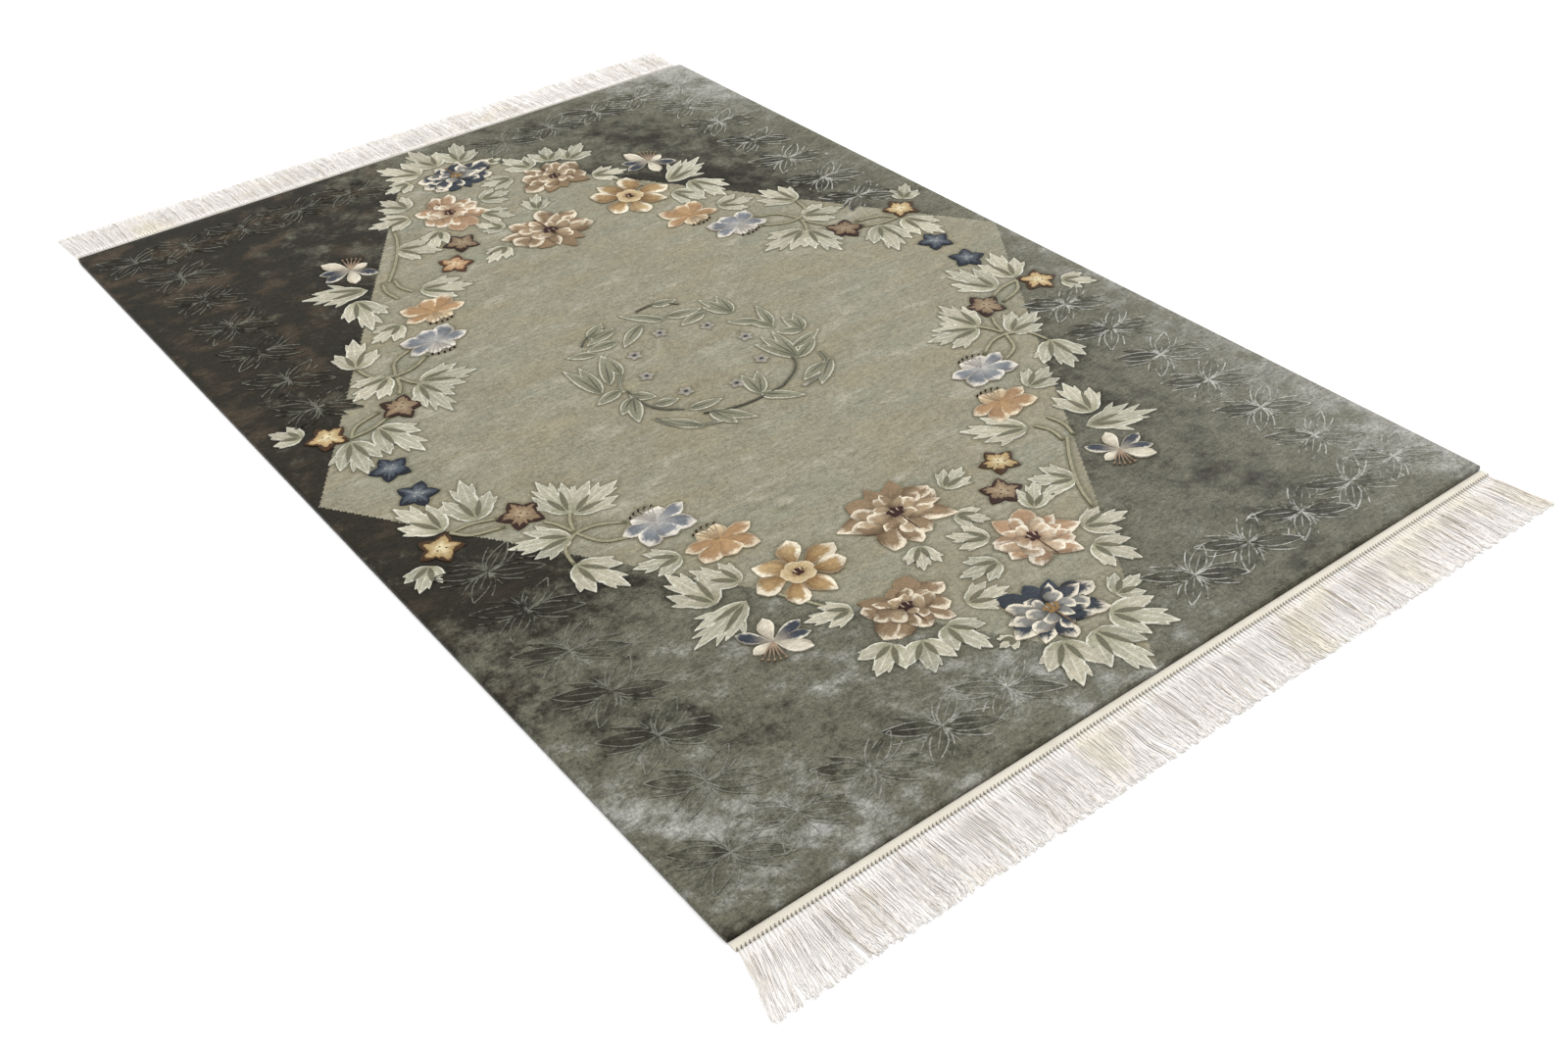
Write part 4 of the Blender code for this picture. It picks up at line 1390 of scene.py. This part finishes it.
def make_ground():
    """The carved pile, from its top down to the floor."""
    fine = crossed(DEPTH)
    faces = ground_faces(fine)
    used = np.unique(np.concatenate([np.array(face) for face in faces]))
    rows = PLAIN[1] * FINE + 1
    i, j = used // rows, used % rows
    x = -FLAT_X + 2 * FLAT_X * i / (PLAIN[0] * FINE)
    y = -FLAT_Y + 2 * FLAT_Y * j / (PLAIN[1] * FINE)
    depth = DEPTH[2 * i, 2 * j]
    wave = WAVE * np.sin(5.3 * x + 2.1 * y + 0.6) * np.sin(4.1 * y - 1.7 * x)
    points = np.stack([x, y, GROUND - CUT_DEPTH * depth + wave], axis=1).tolist()
    number = {int(old): new for new, old in enumerate(used)}
    faces = [tuple(number[int(v)] for v in face) for face in faces]
    edge = np.flatnonzero((i == 0) | (j == 0) | (i == PLAIN[0] * FINE) | (j == PLAIN[1] * FINE))
    # Sorting by position along the outline gives the edge loop
    along = {}
    for v in edge:
        px, py = i[v] / (PLAIN[0] * FINE), j[v] / (PLAIN[1] * FINE)
        if py == 0:
            along[v] = px
        elif px == 1:
            along[v] = 1 + py
        elif py == 1:
            along[v] = 3 - px
        else:
            along[v] = 4 - py
    ring = sorted(along, key=along.get)
    outward = []
    for v in ring:
        ox = (i[v] == PLAIN[0] * FINE) * 1.0 - (i[v] == 0) * 1.0
        oy = (j[v] == PLAIN[1] * FINE) * 1.0 - (j[v] == 0) * 1.0
        scale = 0.75 if ox and oy else 1.0
        outward.append((ox * scale, oy * scale))
    inner = [int(v) for v in ring]
    for inset, height in LEVELS:
        start = len(points)
        for v, (ox, oy) in zip(ring, outward):
            px, py = points[int(v)][:2]
            points.append([px + ox * (EDGE - inset), py + oy * (EDGE - inset), height])
        outer = list(range(start, start + len(ring)))
        for k in range(len(ring)):
            n = (k + 1) % len(ring)
            faces.append((inner[k], outer[k], outer[n], inner[n]))
        inner = outer
    faces.append(tuple(inner[::-1]))
    mesh = bpy.data.meshes.new("pile_ground")
    mesh.from_pydata(points, [], faces)
    mesh.materials.append(ground_silk())
    # The depth of the cut is kept on the points, for the painted shade in the grooves
    carved = np.zeros(len(points))
    carved[: len(depth)] = depth
    mesh.attributes.new("carved", "FLOAT", "POINT").data.foreach_set("value", carved)
    smooth(mesh, 60)
    triangles = sum(len(polygon.vertices) - 2 for polygon in mesh.polygons)
    print(f"ground: {fine.sum()} of {fine.size} cells split, {triangles} triangles")
    return new_object("pile_ground", mesh)


pile_ground = make_ground()

# %% [markdown]
# Each end of the rug is finished with a flat-woven cotton band, from which the warps come out in
# small knots and hang as a fringe. The band is woven, so its top is ribbed along its length.

# %% Cotton
COTTON = dye(214, 208, 194)
COTTON_SHADOW = dye(176, 165, 148)
COTTON_WHITE = dye(236, 232, 228)
KNOT_SHADOW = dye(92, 82, 66)
BUNDLES = 236
PITCH = (WIDTH - 2 * EDGE) / BUNDLES
WEFT_PITCH = 0.0011
WARP_PITCH = 0.0020
YARN_TWIST = 260.0  # radians from a yarn's root to its end


def cotton_weave():
    """Ivory cotton with fine wefts, soil, painted shade between the wefts, and painted shadow in the slots
    between the knots at its outer edge.
    """
    material, graph = new_material("cotton_weave")
    place = here(graph)
    x, y, _ = graph.parts(place)
    wefts = (y * (2 * math.pi / WEFT_PITCH)).sin()
    warps = (x * (2 * math.pi / WARP_PITCH)).sin()
    soil = graph.noise(place, 30.0, (1.0, 1.0, 1.0), 3.0, 0.6)
    fuzz = graph.noise(place, 900.0, (0.5, 1.0, 1.0), 2.0, 0.6)
    weave = wefts * 0.5 + 0.5
    # Soil is dirt; the weave's share is painted shade between the wefts
    clean_and_lit = (weave * 0.35 + fuzz * 0.3 + soil * 0.7).between(0.10, 0.70)
    colour = graph.mix(COTTON_SHADOW, COTTON, clean_and_lit)
    # Painted shadow in the slots between the knots, slanting with them
    outward = abs(y) - (LENGTH / 2 + SEAM_GAP + BAND_WIDTH)
    slant = (x + outward * 0.5 + WIDTH / 2 - EDGE) / PITCH
    slot_shadow = abs(slant.maths("FRACT") - 0.5).between(0.26, 0.40)
    slot_shadow = slot_shadow * outward.between(-0.0036, -0.0022)
    colour = graph.mix(colour, KNOT_SHADOW, slot_shadow * 0.85)
    height = weave + warps * wefts * 0.4 + fuzz * 0.5
    bump = graph.add("ShaderNodeBump", None, Strength=0.5, Distance=0.0003, Height=height)
    graph.finish(colour, 0.85 + (fuzz - 0.5) * 0.2, bump, 0.1)
    return material


def yarn_cotton():
    """Undyed yarn, each one a little different, some darker as painted shadow between yarns, twisted along
    its length, with painted shadow at its root.
    """
    material, graph = new_material("yarn_cotton")
    along = marked(graph, "along")
    tone = marked(graph, "tone")
    place = here(graph)
    patch = graph.noise(place, 24.0, (1.0, 0.4, 1.0), 3.0, 0.6)
    twist = (along * YARN_TWIST + tone * 9.0).sin()
    # Random tone with painted shadow: darker yarns and patches stand for the shadow lines in the fringe
    clean_and_lit = (tone * 0.75 + patch * 0.55).between(0.12, 0.60)
    colour = graph.mix(COTTON_SHADOW, COTTON_WHITE, clean_and_lit)
    warm = graph.noise(place, 9.0, (1.0, 1.0, 1.0), 2.0, 0.5).between(0.52, 0.70)
    colour = graph.mix(colour, dye(226, 216, 192), warm * 0.5)
    # Painted shadow at each yarn's root, where it leaves its knot
    colour = graph.mix(KNOT_SHADOW, colour, along.between(-0.03, 0.05))
    height = twist * 0.5 + 0.5
    bump = graph.add("ShaderNodeBump", None, Strength=0.4, Distance=0.0002, Height=height)
    graph.finish(colour, 0.80 + (patch - 0.5) * 0.2, bump, 0.15)
    return material


WEAVE = cotton_weave()
YARN = yarn_cotton()

# %% Woven bands
BAND_HEIGHT = 0.0022
BAND_STEPS = 300
BAND_PROFILE = (
    (0.0, 0.55), (0.04, 0.90), (0.14, 1.0), (0.26, 0.92), (0.38, 1.0), (0.50, 0.93),
    (0.62, 1.0), (0.74, 0.92), (0.86, 1.0), (0.96, 0.85), (1.0, 0.45),
)


def make_band(name, end):
    """A ribbed strip along one end of the pile, closed underneath."""
    random = np.random.default_rng(SEED + 5 + end)
    half = WIDTH / 2 - EDGE / 2
    seam = LENGTH / 2 + SEAM_GAP
    points, faces = [], []
    columns = len(BAND_PROFILE) + 2
    jitter = np.convolve(random.normal(0, 1, BAND_STEPS + 9), np.ones(9) / 9, "valid")
    for i in range(BAND_STEPS + 1):
        x = -half + 2 * half * i / BAND_STEPS
        wave = 0.0004 * jitter[i]
        for share, level in BAND_PROFILE:
            points.append((x, end * (seam + share * (BAND_WIDTH + wave)), BAND_HEIGHT * level + 0.2 * wave))
        points.append((x, end * (seam + BAND_WIDTH + wave), 0.0))
        points.append((x, end * seam, 0.0))
    for i in range(BAND_STEPS):
        for k in range(columns):
            n = (k + 1) % columns
            a, b = i * columns, (i + 1) * columns
            faces.append((a + k, b + k, b + n, a + n))
    faces.append(tuple(range(columns)))
    faces.append(tuple(range(BAND_STEPS * columns, (BAND_STEPS + 1) * columns)))
    mesh = bpy.data.meshes.new(name)
    mesh.from_pydata(points, [], faces)
    mesh.materials.append(WEAVE)
    face_outwards(mesh)
    smooth(mesh, 60)
    return new_object(name, mesh)


# %% [markdown]
# A fringe is hundreds of yarns that follow one rule, so a tree makes it. It lays out straight
# lines, gives each point its own root, spread, sway and length, and sweeps a small round
# profile along them. The yarns of one knot start close together and spread as they go, and
# every few knots lean together, so that the fringe falls in tufts.

# %% Fringe of yarns
YARNS_PER_BUNDLE = 9
YARN_STEPS = 10
YARN_RADIUS = 0.00050
YARN_UNEVENNESS = 0.08
YARN_EXTRA = 0.006  # the longest yarns reach past the plain strands
SWAY = 0.012
GATHER = 0.32  # how far the yarns of a tuft lean together
TUFT = 3.0  # knots to a tuft
CORNER_LEANS = {"near": (0.026, 0.009), "far": (0.006, 0.009)}  # left and right corner


def fringe_tree():
    """Yarns in bundles, from the band's edge out over the floor."""
    counts = {"Bundles": "Int", "Yarns": "Int", "Steps": "Int", "Seed": "Int", "Cotton": "Material"}
    names = ("Half_width", "Root", "Length", "End", "Radius", "Sway", "Gather", "Unevenness")
    names += ("Left", "Right")
    tree, graph, given = new_tree("fringe", **counts, **{name: "Float" for name in names})
    line = graph.add("GeometryNodeCurvePrimitiveLine", None, (0.0, 0.0, 0.0), (0.0, 1.0, 0.0))
    fine = graph.add("GeometryNodeResampleCurve", None, line, Count=given["Steps"])
    total = given["Bundles"] * given["Yarns"]
    roots = graph.add("GeometryNodeMeshLine", None, total, (0.0, 0.0, 0.0), (0.0, 0.0, 0.0))
    placed = graph.add("GeometryNodeInstanceOnPoints", None, roots, Instance=fine)
    curves = graph.add("GeometryNodeRealizeInstances", None, placed)
    yarn = (graph.add("GeometryNodeInputIndex") / given["Steps"]).floor()
    bundle = (yarn / given["Yarns"]).floor()
    strand = yarn - bundle * given["Yarns"]
    t = graph.add("GeometryNodeSplineParameter")

    def chance(low, high, key, extra):
        seed = given["Seed"] + extra
        return graph.add("FunctionNodeRandomValue", None, low, high, ID=key, Seed=seed)

    def drift_of(x, y, detail):
        place = graph.vector(x, y, given["Seed"] * 1.0)
        return graph.add("ShaderNodeTexNoise", None, place, Scale=1.0, Detail=detail) - 0.5

    pitch = given["Half_width"] * 2.0 / given["Bundles"]
    off = (strand + 0.5) / given["Yarns"] - 0.5
    root_x = (bundle + 0.5) * pitch - given["Half_width"]
    sway = drift_of(root_x * 9.0, t * 0.9 + given["End"] * 4.0, 2.0)
    curl = drift_of(root_x * 60.0, t * 3.0, 2.0)
    lone = drift_of(yarn * 7.31, t * 2.6, 1.0)
    fade = 1.0 - abs(root_x / given["Half_width"]) ** 8.0
    spread = pitch * (0.40 + 1.0 * t.between(0.0, 0.25))
    tuft = ((bundle + drift_of(bundle * 0.37, 0.0, 1.0) * TUFT) / TUFT).floor()
    middle = (tuft * TUFT + TUFT / 2) * pitch - given["Half_width"]
    side = off * spread + (middle - root_x) * given["Gather"] * t.between(0.05, 1.0)
    side = side + (sway * given["Sway"] * 2.4 + curl * 0.018) * (t**1.4) * (fade * 0.75 + 0.25)
    side = side + (lone * 0.013 + chance(-0.0028, 0.0028, yarn, 3)) * (t**1.2)
    near_left = 1.0 - ((root_x + given["Half_width"]) * 8.0).between(0.0, 1.0)
    near_right = 1.0 - ((given["Half_width"] - root_x) * 8.0).between(0.0, 1.0)
    side = side + (near_right * given["Right"] - near_left * given["Left"]) * (t**1.3)
    reach = given["Length"] * (1.0 - chance(0.0, 1.0, yarn, 1) * given["Unevenness"]) * t
    over = chance(0.0, 1.0, yarn, 2)
    drop = 0.0012 * (1.0 - t.between(0.0, 0.10))
    height = given["Radius"] + drop + over * 0.0026 * t.between(0.02, 0.3) * (1.15 - t)
    y = given["End"] * (given["Root"] + reach)
    place = graph.vector(root_x + side, y, height)
    moved = graph.add("GeometryNodeSetPosition", None, curves, Position=place)
    on_points = {"domain": "POINT"}
    tagged = graph.add("GeometryNodeStoreNamedAttribute", on_points, moved, Name="along", Value=t)
    tone = chance(0.0, 1.0, yarn, 4)
    tagged = graph.add("GeometryNodeStoreNamedAttribute", on_points, tagged, Name="tone", Value=tone)
    sized = graph.add("GeometryNodeSetCurveRadius", None, tagged, Radius=1.0 - 0.45 * t**5.0)
    profile = graph.add("GeometryNodeCurvePrimitiveCircle", {"mode": "RADIUS"}, 4, Radius=given["Radius"])
    swept = graph.add("GeometryNodeCurveToMesh", None, sized, profile, Fill_Caps=True)
    end_tree(graph, swept, given["Cotton"])
    return tree

# %% [markdown]
# Where each bundle leaves the band it is tied in a small knot. Between two knots lies a slot,
# painted dark as its shadow, which reads as the dotted line along the band. A second tree sets
# one knot on each root.

# %% Knots
KNOT_LENGTH = 0.0042
KNOT_WIDTH = 0.0034
KNOT_SIDES = 8
KNOT_RINGS = 4
KNOT_TWIST = 0.6


def knot_template():
    """A small twisted knot, longer than wide."""
    ball = [(0.0, 0.0, 0.5)]
    for level in range(1, KNOT_RINGS + 1):
        dip = math.pi * level / (KNOT_RINGS + 1)
        for k in range(KNOT_SIDES):
            turn = 2 * math.pi * k / KNOT_SIDES
            out = 0.5 * math.sin(dip)
            ball.append((out * math.cos(turn), out * math.sin(turn), 0.5 * math.cos(dip)))
    ball.append((0.0, 0.0, -0.5))
    points = []
    for x, y, z in ball:
        across = x * math.cos(KNOT_TWIST * y) - z * math.sin(KNOT_TWIST * y)
        up = x * math.sin(KNOT_TWIST * y) + z * math.cos(KNOT_TWIST * y)
        points.append((across * KNOT_WIDTH, y * KNOT_LENGTH, up * BAND_HEIGHT))
    faces = []
    last = len(points) - 1
    for k in range(KNOT_SIDES):
        n = (k + 1) % KNOT_SIDES
        faces.append((0, 1 + k, 1 + n))
        for level in range(KNOT_RINGS - 1):
            a, b = 1 + level * KNOT_SIDES, 1 + (level + 1) * KNOT_SIDES
            faces.append((a + k, b + k, b + n, a + n))
        faces.append((last, last - KNOT_SIDES + n, last - KNOT_SIDES + k))
    mesh = bpy.data.meshes.new("knot")
    mesh.from_pydata(points, [], faces)
    mesh.shade_smooth()
    return new_object("knot", mesh)


def knot_tree():
    """One knot for each bundle, along the band's edge."""
    numbers = {"Half_width": "Float", "Root": "Float", "End": "Float", "Cotton": "Material"}
    tree, graph, given = new_tree("knots", Knot="Object", Bundles="Int", Seed="Int", **numbers)
    number = graph.add("GeometryNodeInputIndex")
    chance = by_chance(graph, number, given["Seed"])
    still = (0.0, 0.0, 0.0)
    line = graph.add("GeometryNodeMeshLine", None, given["Bundles"], still, still)
    pitch = given["Half_width"] * 2.0 / given["Bundles"]
    x = (number + 0.5) * pitch - given["Half_width"] + chance * 0.0003
    y = given["End"] * (given["Root"] + 0.0006 + chance * 0.0003)
    place = graph.vector(x, y, BAND_HEIGHT / 2)
    placed = graph.add("GeometryNodeSetPosition", None, line, Position=place)
    wide = 1.0 + chance * 0.10
    knots = set_out(graph, placed, given["Knot"], chance * 0.25, graph.vector(wide, wide, 1.0))
    end_tree(graph, knots, given["Cotton"])
    return tree


FRINGE_TREE = fringe_tree()
KNOT_TREE = knot_tree()


def make_end(side, end):
    """The band, knots and yarns of one end, whose corner yarns lean outwards."""
    left, right = CORNER_LEANS[side]
    band = make_band(f"{side}_band", end)
    root = LENGTH / 2 + SEAM_GAP + BAND_WIDTH
    half = WIDTH / 2 - EDGE
    shared = {"Bundles": BUNDLES, "Half_width": half, "Root": root, "End": float(end)}
    knot = knot_template()
    knot_values = {**shared, "Knot": knot, "Seed": 8 + end, "Cotton": WEAVE}
    knots = run_tree(f"{side}_knots", KNOT_TREE, knot_values)
    bpy.data.objects.remove(knot)
    values = {
        **shared,
        "Yarns": YARNS_PER_BUNDLE,
        "Steps": YARN_STEPS,
        "Length": STRAND_LENGTH + YARN_EXTRA,
        "Radius": YARN_RADIUS,
        "Sway": SWAY,
        "Gather": GATHER,
        "Unevenness": YARN_UNEVENNESS,
        "Left": left,
        "Right": right,
        "Seed": 12 + end,
        "Cotton": YARN,
    }
    yarns = run_tree(f"{side}_yarns", FRINGE_TREE, values)
    yarns.data.shade_smooth()
    yarn_count = BUNDLES * YARNS_PER_BUNDLE
    print(f"{side} end: {BUNDLES} knots, {yarn_count} yarns, {len(yarns.data.polygons)} faces")
    return band, knots, yarns


near_band, near_knots, near_yarns = make_end("near", -1)
far_band, far_knots, far_yarns = make_end("far", 1)

# %% [markdown]
# Now the carved pieces become objects, every piece rides on the rug's one body, and the CAD
# parts of the pile and the two fringes, which these pieces stand for, are hidden.

# %% Pieces
carved_pieces = [carving.mesh_object(f"{kind}_relief", SILKS[kind]) for kind, carving in carvings.items()]
carved_pieces.append(twig_carving.mesh_object("wreath_twig", SILKS["wreath"]))
carved_pieces.append(bud_carving.mesh_object("wreath_buds", SILKS["bud"]))
carved_pieces += [wreath_leaves, border_blossoms]
end_pieces = [near_band, near_knots, near_yarns, far_band, far_knots, far_yarns]

for piece in [pile_ground, *carved_pieces]:
    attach(piece, "root")
for piece in end_pieces:
    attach(piece, "root")
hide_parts("pile")
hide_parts("near_fringe")
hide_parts("far_fringe")
print(len(carved_pieces), "carved pieces and", len(end_pieces), "pieces of the two ends")

# %% [markdown]
# The floor is plain and nearly white, as in a shop's studio. One broad soft light hangs over the
# rug, and a second stands beyond its right side, low enough to graze the silk there and
# brighten it towards the viewer.

# %% Floor and lights
FLOOR_SIZE = 16.0
FLOOR_DROP = 0.0004
ROOM_LIGHT = 0.72
Light = namedtuple("Light", "name place aim size power")
LIGHTS = (
    Light("overhead", (-0.6, 0.4, 3.4), (0.0, 0.0, 0.0), 3.0, 90.0),
    Light("right_side", (3.2, 0.6, 1.9), (0.5, -0.5, 0.0), 1.8, 60.0),
)


def make_floor():
    """A pale matt floor just under the rug."""
    mesh = bpy.data.meshes.new("floor")
    half = FLOOR_SIZE / 2
    corners = [(x * half, y * half, -FLOOR_DROP) for x, y in ((-1, -1), (1, -1), (1, 1), (-1, 1))]
    mesh.from_pydata(corners, [], [(0, 1, 2, 3)])
    material, graph = new_material("floor_paint")
    dust = graph.noise(here(graph), 2.0, (1.0, 1.0, 1.0), 2.0, 0.5)
    colour = graph.mix(dye(244, 244, 244), dye(248, 248, 248), dust)
    shader = graph.tree.nodes["Principled BSDF"]
    graph.tree.links.new(colour.socket, shader.inputs["Base Color"])
    shader.inputs["Roughness"].default_value = 0.9
    mesh.materials.append(material)
    floor = new_object("floor", mesh)


def add_area(name, place, aim, size, power):
    """A square soft light that points at a spot on the rug."""
    data = bpy.data.lights.new(name, "AREA")
    data.shape = "SQUARE"
    data.size = size
    data.energy = power
    light = new_object(name, data)
    light.location = place
    light.rotation_euler = (Vector(aim) - Vector(place)).to_track_quat("-Z", "Y").to_euler()


def light_room():
    """An even white room, a soft light overhead and a grazing one beyond the right side."""
    world = bpy.data.worlds.new("room")
    world.use_nodes = True
    background = world.node_tree.nodes["Background"]
    background.inputs["Color"].default_value = (1.0, 1.0, 1.0, 1.0)
    background.inputs["Strength"].default_value = ROOM_LIGHT
    bpy.context.scene.world = world
    for light in LIGHTS:
        add_area(*light)
    bpy.context.scene.view_settings.view_transform = "Standard"


make_floor()
light_room()
